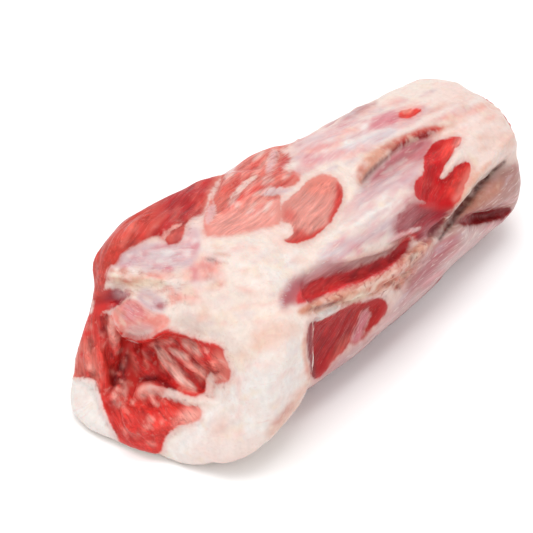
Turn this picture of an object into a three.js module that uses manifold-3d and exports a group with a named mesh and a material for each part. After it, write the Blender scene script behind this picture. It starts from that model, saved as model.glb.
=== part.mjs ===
// A raw boneless lamb shank, lying on its flattened underside. Millimetres, +Z up.
// +X runs along the shank, from the thick cut end to the narrow end. -Y is the flank that faces a viewer.
// A place on the shank is given by its distance along it, in millimetres from the thick end, and by its
// turn round it, in degrees from the top: 90 is the near flank, 180 the underside and -90 the far flank.
import * as THREE from "three";
import { mergeVertices } from "three/addons/utils/BufferGeometryUtils.js";
import Module from "manifold-3d";

const { clamp, degToRad, euclideanModulo, lerp, smoothstep } = THREE.MathUtils;

// Driving dimensions of the trunk, before its relief.
const shankLength = 160;
const thickWidth = 67;
const thickHeight = 56;
const rimRound = 8.5; // how far the thick face's rim rolls over
const tipRound = 14; // how far the narrow end rolls over
const pressedFlat = 1.5; // how much of the underside the table flattens
const settled = 0.2; // skin this near to the table's level lies on it

// The thick face leans back toward its top, its foot spreads on the table, the narrow end is skewed.
const faceLean = 17.5;
const faceSkew = 3.7;
const topRound = 8.5;
const foot = 4.6;
const cornerFoot = 3.7;
const tipSkew = 13;

// Cross sections by their share of the length. near and far are shares of half the thick end's width,
// height is a share of its height, and square says how boxy that side of the section is.
const sections = [
  { at: 0.0, near: 0.97, far: 0.9, height: 0.96, squareNear: 2.7, squareFar: 4.4 },
  { at: 0.12, near: 0.94, far: 0.97, height: 0.97, squareNear: 2.4, squareFar: 3.0 },
  { at: 0.21, near: 0.9, far: 0.99, height: 0.96, squareNear: 2.3, squareFar: 2.7 },
  { at: 0.4, near: 0.87, far: 1.0, height: 0.94, squareNear: 2.2, squareFar: 2.4 },
  { at: 0.68, near: 0.79, far: 0.92, height: 0.87, squareNear: 2.2, squareFar: 2.3 },
  { at: 1.0, near: 0.68, far: 0.82, height: 0.78, squareNear: 2.2, squareFar: 2.3 },
];

// Muscles, tendons and grooves along the body. Each runs between two distances and two turns. Spread
// is its half width in degrees, ease the length over which it begins and ends, and rise its height.
const strips = [
  { name: "far top ridge", from: 11, to: 60, turnFrom: -50, turnTo: -38, spread: 24, ease: 8, rise: 2.7 },
  { name: "outer red ridge", from: 67, to: 87, turnFrom: -40, turnTo: -36, spread: 13, ease: 6, rise: 2.4 },
  { name: "inner red ridge", from: 38, to: 89, turnFrom: -16, turnTo: -12, spread: 11, ease: 7, rise: 1.8 },
  { name: "upper muscle", from: 84, to: 167, turnFrom: -12, turnTo: -4, spread: 34, ease: 12, rise: 3 },
  { name: "upper muscle's head", from: 112, to: 167, turnFrom: -42, turnTo: -36, spread: 20, ease: 5, rise: 2 },
  { name: "middle belly", from: 44, to: 119, turnFrom: 45, turnTo: 44, spread: 19, ease: 15, rise: 3 },
  { name: "tendon mass", from: 113, to: 167, turnFrom: 42, turnTo: 40, spread: 25, ease: 9, rise: 3 },
  { name: "lower muscle", from: 93, to: 167, turnFrom: 98, turnTo: 94, spread: 20, ease: 13, rise: 2 },
  { name: "near flank muscle", from: 37, to: 100, turnFrom: 112, turnTo: 108, spread: 20, ease: 9, rise: 1.5 },
  { name: "strand", from: 32, to: 97, turnFrom: 63, turnTo: 81, spread: 7, ease: 4.5, rise: 2.8 },
  { name: "far flank muscle", from: 24, to: 104, turnFrom: -88, turnTo: -78, spread: 25, ease: 20, rise: 3.3 },
  { name: "far lower muscle", from: 19, to: 128, turnFrom: -130, turnTo: -116, spread: 19, ease: 20, rise: 2.8 },
  { name: "heel tendon", from: 100, to: 177, turnFrom: -96, turnTo: -84, spread: 13, ease: 13, rise: 3.2 },
  { name: "top groove", from: 79, to: 122, turnFrom: 18, turnTo: 19, spread: 7, ease: 6, rise: -4.2 },
  { name: "valley", from: 28, to: 90, turnFrom: 53, turnTo: 72, spread: 8, ease: 5.5, rise: -3.8 },
  { name: "gap under the strand", from: 33, to: 84, turnFrom: 71, turnTo: 92, spread: 6, ease: 5.5, rise: -2 },
  { name: "side crevice", from: 98, to: 151, turnFrom: 78, turnTo: 66, spread: 7.5, ease: 6.5, rise: -5.6 },
  { name: "slit", from: 114, to: 142, turnFrom: 88, turnTo: 97, spread: 6, ease: 4, rise: -4 },
  { name: "flank window", from: 28, to: 64, turnFrom: 80, turnTo: 90, spread: 22, ease: 3, rise: -1.7 },
  { name: "far groove", from: 28, to: 140, turnFrom: -106, turnTo: -102, spread: 6, ease: 11, rise: -2.4 },
];

// The sheet of fat that wraps the thick end and stops at a cut edge on the near flank. The edge
// swings back toward the thick end under the shank.
const fatSheet = { rise: 2.8, turn: 94, spread: 52, fade: 26, edge: 26.5, step: 1.3, swing: 9 };

// Lumps and pits of the ragged cut face. Side is toward the near flank, up from the table, tilt in
// degrees. A positive rise stands out of the face, a negative one goes into it.
const facePatches = [
  { name: "boned-out hollow", side: 2, up: 25, halfWidth: 29, halfHeight: 15, tilt: 15, rise: -7 },
  { name: "right mass", side: 16, up: 30, halfWidth: 12, halfHeight: 7, tilt: -25, rise: 2.6 },
  { name: "left mass", side: -24, up: 20, halfWidth: 9, halfHeight: 13, tilt: 8, rise: 4.2 },
  { name: "lower mass", side: -3, up: 7.5, halfWidth: 16, halfHeight: 8.5, tilt: 0, rise: 3.7 },
  { name: "hanging membrane", side: -8, up: 34, halfWidth: 13, halfHeight: 9, tilt: 4, rise: 5.4 },
  { name: "left pit", side: -14, up: 17, halfWidth: 5.5, halfHeight: 9, tilt: 15, rise: -4.6 },
  { name: "middle pit", side: -4, up: 19, halfWidth: 8, halfHeight: 4.5, tilt: -20, rise: -3.2 },
  { name: "fat fold", side: 6, up: 14.5, halfWidth: 16, halfHeight: 4.4, tilt: 22, rise: 4.4 },
  { name: "corner fat", side: -24, up: 3, halfWidth: 17, halfHeight: 11, tilt: 0, rise: 3 },
];
const strandEnds = { count: 3, side: 1, up: 21.5, apart: 4.6, shift: 4.2 };
for (let i = 0; i < strandEnds.count; i++) {
  facePatches.push({
    name: "strand end",
    side: strandEnds.side + strandEnds.shift * i,
    up: strandEnds.up + strandEnds.apart * i,
    halfWidth: 10,
    halfHeight: 3,
    tilt: 4,
    rise: 1.7,
  });
}

// The bone's empty place and the ends of muscles and tendon at the narrow tip.
const tipPatches = [
  { name: "bone hollow", side: 1, up: 22.5, halfWidth: 10, halfHeight: 7.5, tilt: 20, rise: -6.5 },
  { name: "upper muscle end", side: 4, up: 35.5, halfWidth: 16, halfHeight: 8.5, tilt: -6, rise: 3.2 },
  { name: "heel tendon end", side: -16, up: 20.5, halfWidth: 6.5, halfHeight: 8.5, tilt: 0, rise: 4.2 },
  { name: "lower muscle end", side: 9.5, up: 10, halfWidth: 13, halfHeight: 8.5, tilt: 10, rise: 2.8 },
];

// The grid of the skin: rings along the shank and steps round it.
const aroundSteps = 76;
const faceRings = 13;
const rimRings = 5;
const bodyRings = 47;
const tipRings = 7;
const endRings = 5;
const rimReach = 0.72; // the share of the section's reach at which the rim starts to roll over
const tipReach = 0.45;

const wrapTurn = (turn) => euclideanModulo(turn + 180, 360) - 180;

const between = (value, from, to, ease) =>
  smoothstep(value, from - ease, from + ease) * (1 - smoothstep(value, to - ease, to + ease));

const waver = (a, b) => Math.sin(a / 6.8 + b / 23) * 0.6 + Math.sin(a / 3.6 - b / 11 + 2) * 0.4;

const fatEdgeAt = (turn) => fatSheet.edge - fatSheet.swing * smoothstep(wrapTurn(turn), 98, 150);

function sectionAt(along) {
  const share = clamp(along / shankLength, 0, 1);
  const next = Math.max(1, sections.findIndex((section) => section.at >= share));
  const [a, b] = [sections[next - 1], sections[next]];
  const straight = (share - a.at) / (b.at - a.at);
  const mix = lerp(straight, smoothstep(share, a.at, b.at), 0.4);
  return (key) => lerp(a[key], b[key], mix);
}

// How far the body's skin stands out at a place, past the smooth trunk.
function bodyRelief(along, turn) {
  const placed = along + 1.7 * waver(turn / 3, along);
  let total = 0.35 * waver(along, turn);
  for (const strip of strips) {
    const share = clamp((along - strip.from) / (strip.to - strip.from), 0, 1);
    const off = wrapTurn(turn - lerp(strip.turnFrom, strip.turnTo, share)) / strip.spread;
    if (Math.abs(off) >= 1) continue;
    total += strip.rise * (1 - off * off) * between(placed, strip.from, strip.to, strip.ease);
  }
  const off = Math.abs(wrapTurn(turn - fatSheet.turn));
  const covered = 1 - smoothstep(off, fatSheet.spread - fatSheet.fade, fatSheet.spread);
  const pastEdge = smoothstep(along - fatEdgeAt(turn), -fatSheet.step / 2, fatSheet.step / 2);
  return total + fatSheet.rise * covered * (1 - pastEdge);
}

function patchRelief(patches, side, up) {
  let total = 0;
  for (const patch of patches) {
    const tilt = degToRad(patch.tilt);
    const [ds, du] = [side - patch.side, up - patch.up];
    const across = (ds * Math.cos(tilt) + du * Math.sin(tilt)) / patch.halfWidth;
    const over = (du * Math.cos(tilt) - ds * Math.sin(tilt)) / patch.halfHeight;
    total += patch.rise * smoothstep(1 - across * across - over * over, 0, 1);
  }
  return total;
}

function surfacePoint(along, reach, turn) {
  const section = sectionAt(along);
  const [side, up] = [Math.sin(degToRad(turn)), Math.cos(degToRad(turn))];
  const flank = side > 0 ? "Near" : "Far";
  const power = 2 / section("square" + flank);
  const halfWidth = (thickWidth / 2) * section(flank.toLowerCase());
  const halfHeight = (thickHeight / 2) * section("height");
  const across = halfWidth * Math.sign(side) * Math.abs(side) ** power;
  const over = halfHeight * Math.sign(up) * Math.abs(up) ** power;
  const relief = bodyRelief(along, turn) * smoothstep(reach, 0.5, 1);
  const grown = reach + relief / Math.hypot(across, over);
  const y = -across * grown;
  const height = halfHeight + over * grown;
  const z = Math.abs(height - pressedFlat) < settled ? pressedFlat : height;

  const toThick = (1 - along / shankLength) ** 3;
  const toTip = (along / shankLength) ** 3;
  const leaning = faceLean * Math.max(0, z / thickHeight) ** 0.8 - faceSkew * (y / thickWidth);
  const rounding = topRound * smoothstep(z, 32, 58) * (1 - smoothstep(y, 7, 24));
  const footing = foot * (1 - smoothstep(z, 0, 22));
  const cornerFooting = cornerFoot * smoothstep(y, 4, 24) * (1 - smoothstep(z, 0, 11));
  const onFace = 1 - smoothstep(along, 0, rimRound);
  const onTip = smoothstep(along, shankLength - tipRound, shankLength);
  const thickShift = toThick * (leaning + rounding - footing - cornerFooting);
  const tipShift = toTip * tipSkew * (y / thickWidth);
  const raggedness = onTip * patchRelief(tipPatches, -y, z) - onFace * patchRelief(facePatches, -y, z);
  return [along + thickShift + tipShift + raggedness, y, z];
}

// Rings from the middle of the thick face, over its rim, along the body and round the narrow tip.
function ringStops() {
  const rings = [];
  for (let i = 0; i < faceRings; i++) rings.push({ along: 0, reach: rimReach * (i / faceRings) });
  for (let i = 0; i <= rimRings; i++) {
    const angle = (i / rimRings) * (Math.PI / 2);
    rings.push({ along: rimRound * (1 - Math.cos(angle)), reach: lerp(rimReach, 1, Math.sin(angle)) });
  }
  const stops = [fatSheet.edge - fatSheet.step / 2, fatSheet.edge + fatSheet.step / 2];
  for (let i = 1; i < bodyRings; i++) stops.push(lerp(rimRound, shankLength - tipRound, i / bodyRings));
  for (const along of stops.sort((a, b) => a - b)) rings.push({ along, reach: 1 });
  for (let i = 0; i < tipRings; i++) {
    const angle = (i / tipRings) * (Math.PI / 2);
    const along = shankLength - tipRound * (1 - Math.sin(angle));
    rings.push({ along, reach: lerp(tipReach, 1, Math.cos(angle)) });
  }
  for (let i = 0; i <= endRings; i++) rings.push({ along: shankLength, reach: tipReach * (1 - i / endRings) });
  return rings;
}

// The long lines of the grid lie closest on the near upper side and follow the strand's slant there.
const denseTurn = 38;
const crowding = 20;
const strandSlant = 20;

function gridPlace(ring, share) {
  const even = share * 360 - 180;
  const crowded = even - crowding * Math.sin(degToRad(even - denseTurn));
  const beside = Math.max(0, Math.cos(degToRad(crowded - 75))) ** 2;
  const turn = crowded + strandSlant * beside * (smoothstep(ring.along, 28, 98) - 0.5);
  const nearEdge = between(ring.along, fatSheet.edge - 8, fatSheet.edge + 8, 8);
  return { along: ring.along + (fatEdgeAt(turn) - fatSheet.edge) * nearEdge, turn };
}

function skin() {
  const rings = ringStops();
  const vertices = [];
  const triangles = [];
  for (const ring of rings) {
    const count = ring.reach === 0 ? 1 : aroundSteps;
    for (let i = 0; i < count; i++) {
      const place = gridPlace(ring, i / count);
      vertices.push(...surfacePoint(place.along, ring.reach, place.turn));
    }
  }
  const at = (ring, step) => 1 + (ring - 1) * aroundSteps + (step % aroundSteps);
  const last = rings.length - 1;
  const tipVertex = at(last, 0);
  for (let step = 0; step < aroundSteps; step++) {
    triangles.push(0, at(1, step + 1), at(1, step));
    triangles.push(tipVertex, at(last - 1, step), at(last - 1, step + 1));
    for (let ring = 1; ring < last - 1; ring++) {
      const [a, b, c, d] = [at(ring, step), at(ring + 1, step), at(ring + 1, step + 1), at(ring, step + 1)];
      triangles.push(a, c, b, a, d, c);
    }
  }
  const geometry = new THREE.BufferGeometry();
  geometry.setAttribute("position", new THREE.Float32BufferAttribute(vertices, 3));
  geometry.setIndex(triangles);
  return geometry;
}

const wasm = await Module();
wasm.setup();

function toSolid(geometry) {
  for (const name of ["normal", "uv"]) geometry.deleteAttribute(name);
  const merged = mergeVertices(geometry, 1e-4);
  return new wasm.Manifold(new wasm.Mesh({
    numProp: 3,
    vertProperties: new Float32Array(merged.attributes.position.array),
    triVerts: new Uint32Array(merged.index.array),
  }));
}

function toGeometry(solid) {
  const mesh = solid.getMesh();
  const geometry = new THREE.BufferGeometry();
  geometry.setAttribute("position", new THREE.BufferAttribute(mesh.vertProperties, 3));
  geometry.setIndex(new THREE.BufferAttribute(mesh.triVerts, 1));
  return geometry;
}

// The table presses the underside flat, and the middle of the meat's footprint is the origin.
const tableSize = 300;
const table = new THREE.BoxGeometry(tableSize, tableSize, tableSize);
table.translate(shankLength / 2, 0, pressedFlat - tableSize / 2);
const pressed = toGeometry(toSolid(skin()).subtract(toSolid(table)));
pressed.computeBoundingBox();
const middle = pressed.boundingBox.getCenter(new THREE.Vector3());
pressed.translate(-middle.x, -middle.y, -pressed.boundingBox.min.z);

const meat = new THREE.Mesh(pressed, new THREE.MeshStandardMaterial({ color: 0xd9a8a0, roughness: 0.35, metalness: 0 }));
meat.name = "shank";

const shank = new THREE.Group();
shank.add(meat);
export default shank;
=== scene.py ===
import itertools
import math

import bpy
import numpy as np
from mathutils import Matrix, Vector
from mathutils.bvhtree import BVHTree


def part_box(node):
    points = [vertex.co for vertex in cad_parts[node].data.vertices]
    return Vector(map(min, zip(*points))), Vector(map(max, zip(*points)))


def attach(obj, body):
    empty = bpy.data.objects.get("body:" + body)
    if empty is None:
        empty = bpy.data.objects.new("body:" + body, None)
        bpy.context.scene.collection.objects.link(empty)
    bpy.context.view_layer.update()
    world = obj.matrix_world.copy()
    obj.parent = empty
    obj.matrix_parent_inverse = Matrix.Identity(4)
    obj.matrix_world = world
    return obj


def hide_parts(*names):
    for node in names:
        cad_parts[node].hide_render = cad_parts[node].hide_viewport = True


# A raw boneless lamb shank on a white table. Metres, the thick cut end at -X, the shown flank at -Y.
mm = 0.001

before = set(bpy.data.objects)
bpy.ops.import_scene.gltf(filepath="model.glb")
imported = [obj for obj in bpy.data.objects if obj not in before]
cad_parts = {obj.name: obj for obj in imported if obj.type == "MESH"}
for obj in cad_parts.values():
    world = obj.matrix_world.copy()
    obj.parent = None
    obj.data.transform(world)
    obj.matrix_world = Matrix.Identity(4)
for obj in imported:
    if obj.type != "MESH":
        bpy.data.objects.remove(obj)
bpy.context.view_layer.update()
low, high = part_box("shank")
print("frame loaded")


photoView = {
    "azimuth": -50,
    "elevation": 36,
    "distance": 0.507,
    "lens": 120,
    "sensor": 36,
    "aim": (-0.023, 0.0028, 0.0274),
    "frame": 533,  # the photo's side in pixels
    "clip": (0.01, 20),
}


def viewAxes():
    azimuth = math.radians(photoView["azimuth"])
    elevation = math.radians(photoView["elevation"])
    back = Vector((
        math.sin(azimuth) * math.cos(elevation),
        -math.cos(azimuth) * math.cos(elevation),
        math.sin(elevation),
    ))
    right = Vector((0, 0, 1)).cross(back).normalized()
    return right, back.cross(right), back


def addCamera():
    right, up, back = viewAxes()
    camera = bpy.data.objects.new("photoCamera", bpy.data.cameras.new("photoCamera"))
    bpy.context.scene.collection.objects.link(camera)
    camera.location = Vector(photoView["aim"]) + back * photoView["distance"]
    camera.rotation_mode = "QUATERNION"
    camera.rotation_quaternion = (-back).to_track_quat("-Z", "Y")
    camera.data.lens = photoView["lens"]
    camera.data.sensor_width = photoView["sensor"]
    camera.data.clip_start, camera.data.clip_end = photoView["clip"]
    bpy.context.scene.camera = camera


addCamera()
print("camera set")


def selectOnly(piece):
    bpy.ops.object.select_all(action="DESELECT")
    piece.select_set(True)
    bpy.context.view_layer.objects.active = piece


def applyModifier(piece, kind, **settings):
    selectOnly(piece)
    bpy.ops.object.modifier_add(type=kind)
    modifier = piece.modifiers[-1]
    for key, value in settings.items():
        setattr(modifier, key, value)
    bpy.ops.object.modifier_apply(modifier=modifier.name)


def ease(value, start, end):
    share = np.clip((value - start) / (end - start), 0, 1)
    return share * share * (3 - 2 * share)


def cloud(points, size, seed):  # smooth noise from -1 to 1 at each point
    cells = np.floor(points / size).astype(np.int64)
    part = points / size - cells
    part = part * part * (3 - 2 * part)
    total = np.zeros(len(points))
    for corner in itertools.product((0, 1), repeat=3):
        x, y, z = (cells + np.array(corner)).T
        mixed = (x * 73856093) ^ (y * 19349663) ^ (z * 83492791) ^ (seed * 2654435761)
        mixed = (mixed ^ (mixed >> 13)) * 1274126177 & 0xFFFFFFFF
        mixed = (mixed ^ (mixed >> 16)) & 0xFFFF
        share = np.prod(np.where(corner, part, 1 - part), axis=1)
        total += share * (mixed / 32767.5 - 1)
    return total


def readVectors(collection, key, width=3):
    values = np.zeros(len(collection) * width)
    collection.foreach_get(key, values)
    return values.reshape(-1, width)


studioLight = 1.28  # how much more light falls on the table than makes white paper white


def linear(tone):  # a screen colour, 0 to 255, as linear light
    share = np.array(tone) / 255
    return np.where(share <= 0.04045, share / 12.92, ((share + 0.055) / 1.055) ** 2.4) / studioLight


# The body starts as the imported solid. Its facets are smoothed away, the large forms and the separate
# strands of flesh are added, and then one fine skin is drawn over everything.
body = {
    "mergeDistance": 0.01 * mm,
    "firstVoxel": 0.95 * mm,
    "firstSmoothing": 12,
    "formSmoothing": 2,
    "voxel": 0.7 * mm,
    "smoothing": 3,
}


def smooth(piece, rounds):
    applyModifier(piece, "SMOOTH", factor=0.5, iterations=rounds)


def drawSkin(piece, voxel, rounds):  # one even skin over everything that the piece is made of
    applyModifier(piece, "REMESH", mode="VOXEL", voxel_size=voxel)
    smooth(piece, rounds)


def startOfMeat():
    piece = bpy.data.objects.new("meat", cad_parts["shank"].data.copy())
    bpy.context.scene.collection.objects.link(piece)
    piece.data.materials.clear()
    selectOnly(piece)
    bpy.ops.object.mode_set(mode="EDIT")
    bpy.ops.mesh.select_all(action="SELECT")
    bpy.ops.mesh.remove_doubles(threshold=body["mergeDistance"])
    bpy.ops.object.mode_set(mode="OBJECT")
    drawSkin(piece, body["firstVoxel"], body["firstSmoothing"])
    return piece


meat = startOfMeat()
print("body started:", len(meat.data.vertices), "points")


# Three ways to name a place. seen: where the photo shows a point, in pixels. skin: millimetres along the
# shank from its thick end, and degrees round it from the top, 90 at the shown flank. tip: millimetres
# toward the shown flank and up, on the narrow end.
class Chart:
    def __init__(self, places, unit, weight, turnWidth=None):
        self.places = places  # two numbers for each point of the mesh
        self.unit = unit  # millimetres in one unit of a place
        self.weight = weight  # how much of a brush each point takes
        self.turnWidth = turnWidth  # millimetres in a degree of turn, on the skin chart


zoom = photoView["frame"] * photoView["lens"] / photoView["sensor"]
turnWidth = 0.52  # millimetres of skin in one degree of turn
axisHeight = 0.46 * (high.z - low.z)  # of the line that the degrees turn round
facing = {
    "calming": 10,  # rounds of spreading normals, so that a crevice's walls belong to the side it is on
    "seen": (0.0, 0.22),  # how much the skin faces the eye where the photo's chart sets in and is full
    "tip": (0.35, 0.7),  # the same for the narrow end's chart, along the shank
}


def eyePlace():
    return Vector(photoView["aim"]) + viewAxes()[2] * photoView["distance"]


def meshEdges():
    edges = np.zeros(len(meat.data.edges) * 2, np.int64)
    meat.data.edges.foreach_get("vertices", edges)
    return edges.reshape(-1, 2).T


def spreadOut(values, rounds):  # each point takes the mean of its neighbours
    a, b = meshEdges()
    around = np.bincount(a, minlength=len(values)) + np.bincount(b, minlength=len(values))
    for _ in range(rounds):
        total = np.empty_like(values)
        for axis in range(values.shape[1]):
            total[:, axis] = np.bincount(a, values[b, axis], len(values))
            total[:, axis] += np.bincount(b, values[a, axis], len(values))
        values = total / around[:, None]
    return values


def seenChart(points, normals):
    normals = spreadOut(normals, facing["calming"])
    normals /= np.linalg.norm(normals, axis=1)[:, None] + 1e-9
    right, up, back = (np.array(axis) for axis in viewAxes())
    rays = points - np.array(eyePlace())
    depth = -(rays @ back)
    middle = photoView["frame"] / 2
    places = np.stack((middle + zoom * (rays @ right) / depth, middle - zoom * (rays @ up) / depth), axis=1)
    toEye = -rays / np.linalg.norm(rays, axis=1)[:, None]
    towardEye = np.sum(normals * toEye, axis=1)
    return Chart(places, photoView["distance"] / zoom / mm, ease(towardEye, *facing["seen"]))


def skinChart(points, weight):
    along = (points[:, 0] - low.x) / mm
    turn = np.degrees(np.arctan2(-points[:, 1], points[:, 2] - axisHeight))
    return Chart(np.stack((along, turn), axis=1), 1.0, weight, turnWidth)


def tipChart(points, weight):
    return Chart(np.stack((-points[:, 1] / mm, points[:, 2] / mm), axis=1), 1.0, weight)


def allCharts(points, normals):
    seen = seenChart(points, normals)
    hidden = 1 - seen.weight
    return seen, skinChart(points, hidden), tipChart(points, hidden * ease(normals[:, 0], *facing["tip"]))


cornerCut = 0.25  # how far from a corner it is cut, as a share of each side


def rounded(line, closed, rounds=2):  # cuts the corners of a drawn line
    line = np.array(line, float)
    for _ in range(rounds):
        following = np.roll(line, -1, axis=0) if closed else line[1:]
        start = line if closed else line[:-1]
        cut = np.empty((2 * len(start), line.shape[1]))
        cut[0::2] = (1 - cornerCut) * start + cornerCut * following
        cut[1::2] = cornerCut * start + (1 - cornerCut) * following
        line = cut if closed else np.vstack((line[:1], cut, line[-1:]))
    return line


def nearest(places, line, closed):  # distance to a line, and how far along it, from 0 to 1
    ends = np.roll(line, -1, axis=0) if closed else line[1:]
    starts = line if closed else line[:-1]
    best = np.full(len(places), 1e9)
    share = np.zeros(len(places))
    for i, (a, b) in enumerate(zip(starts, ends)):
        step = b - a
        along = np.clip((places - a) @ step / max(step @ step, 1e-12), 0, 1)
        away = np.hypot(*(places - a - along[:, None] * step).T)
        closer = away < best
        best[closer] = away[closer]
        share[closer] = (i + along[closer]) / len(starts)
    return best, share


def inside(places, outline):
    x, y = places.T
    crossings = np.zeros(len(places), int)
    for a, b in zip(outline, np.roll(outline, -1, axis=0)):
        spans = (a[1] > y) != (b[1] > y)
        rise = b[1] - a[1] if b[1] != a[1] else 1e-12
        crossings += spans & (x < a[0] + (y - a[1]) / rise * (b[0] - a[0]))
    return crossings % 2 == 1


usual = {  # what a brush has where it doesn't say otherwise, in millimetres
    "margin": 5,  # how far round it points are looked at
    "ragged": 0.3,
    "soft": 0.8,
    "slope": 1.2,
    "ends": (0.35, 0.35),  # the thickness of a stroke's ends, as a share of its widest
}
taper = 0.35  # the share of a stroke over which it swells from its end


def swelling(share, ends):  # a stroke's thickness along it, as a share of its widest
    swell = np.minimum(1, ends[0] + (1 - ends[0]) * ease(share, 0, taper))
    return np.minimum(swell, ends[1] + (1 - ends[1]) * ease(1 - share, 0, taper))


def brushDepth(chart, brush, wobble):  # the points that a brush reaches, and how deep inside it they lie
    closed = "outline" in brush
    line = np.array(brush["outline"] if closed else brush["path"], float)
    places = chart.places
    if chart.turnWidth:
        middleTurn = (line[:, 1].min() + line[:, 1].max()) / 2
        turn = places[:, 1] - 360 * np.round((places[:, 1] - middleTurn) / 360)
        places = np.stack((places[:, 0], turn * chart.turnWidth), axis=1)
        line = line * np.array([1, chart.turnWidth])
    line = rounded(line, closed) * chart.unit
    places = places * chart.unit
    margin = usual["margin"] + brush.get("width", 0) + brush.get("soft", 0)
    reached = np.all((places > line.min(0) - margin) & (places < line.max(0) + margin), axis=1)
    reached = np.flatnonzero(reached & (chart.weight > 0.001))
    places = places[reached]
    away, share = nearest(places, line, closed)
    if closed:
        depth = np.where(inside(places, line), away, -away)
    else:
        depth = brush["width"] / 2 * swelling(share, brush.get("ends", usual["ends"])) - away
    return reached, depth + brush.get("ragged", usual["ragged"]) * wobble[reached]


def raiseSkin(rise, chart, brush, reached, depth):
    slope = brush.get("slope", brush["width"] / 2 if "width" in brush else usual["slope"])
    rise[reached] += brush["rise"] * ease(depth, 0, slope) * chart.weight[reached]


def form(rise, outline=None, path=None, **more):  # a swelling or a hollow, in millimetres
    place = {"outline": outline} if outline else {"path": path}
    return {"rise": rise, **place, **more}


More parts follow.
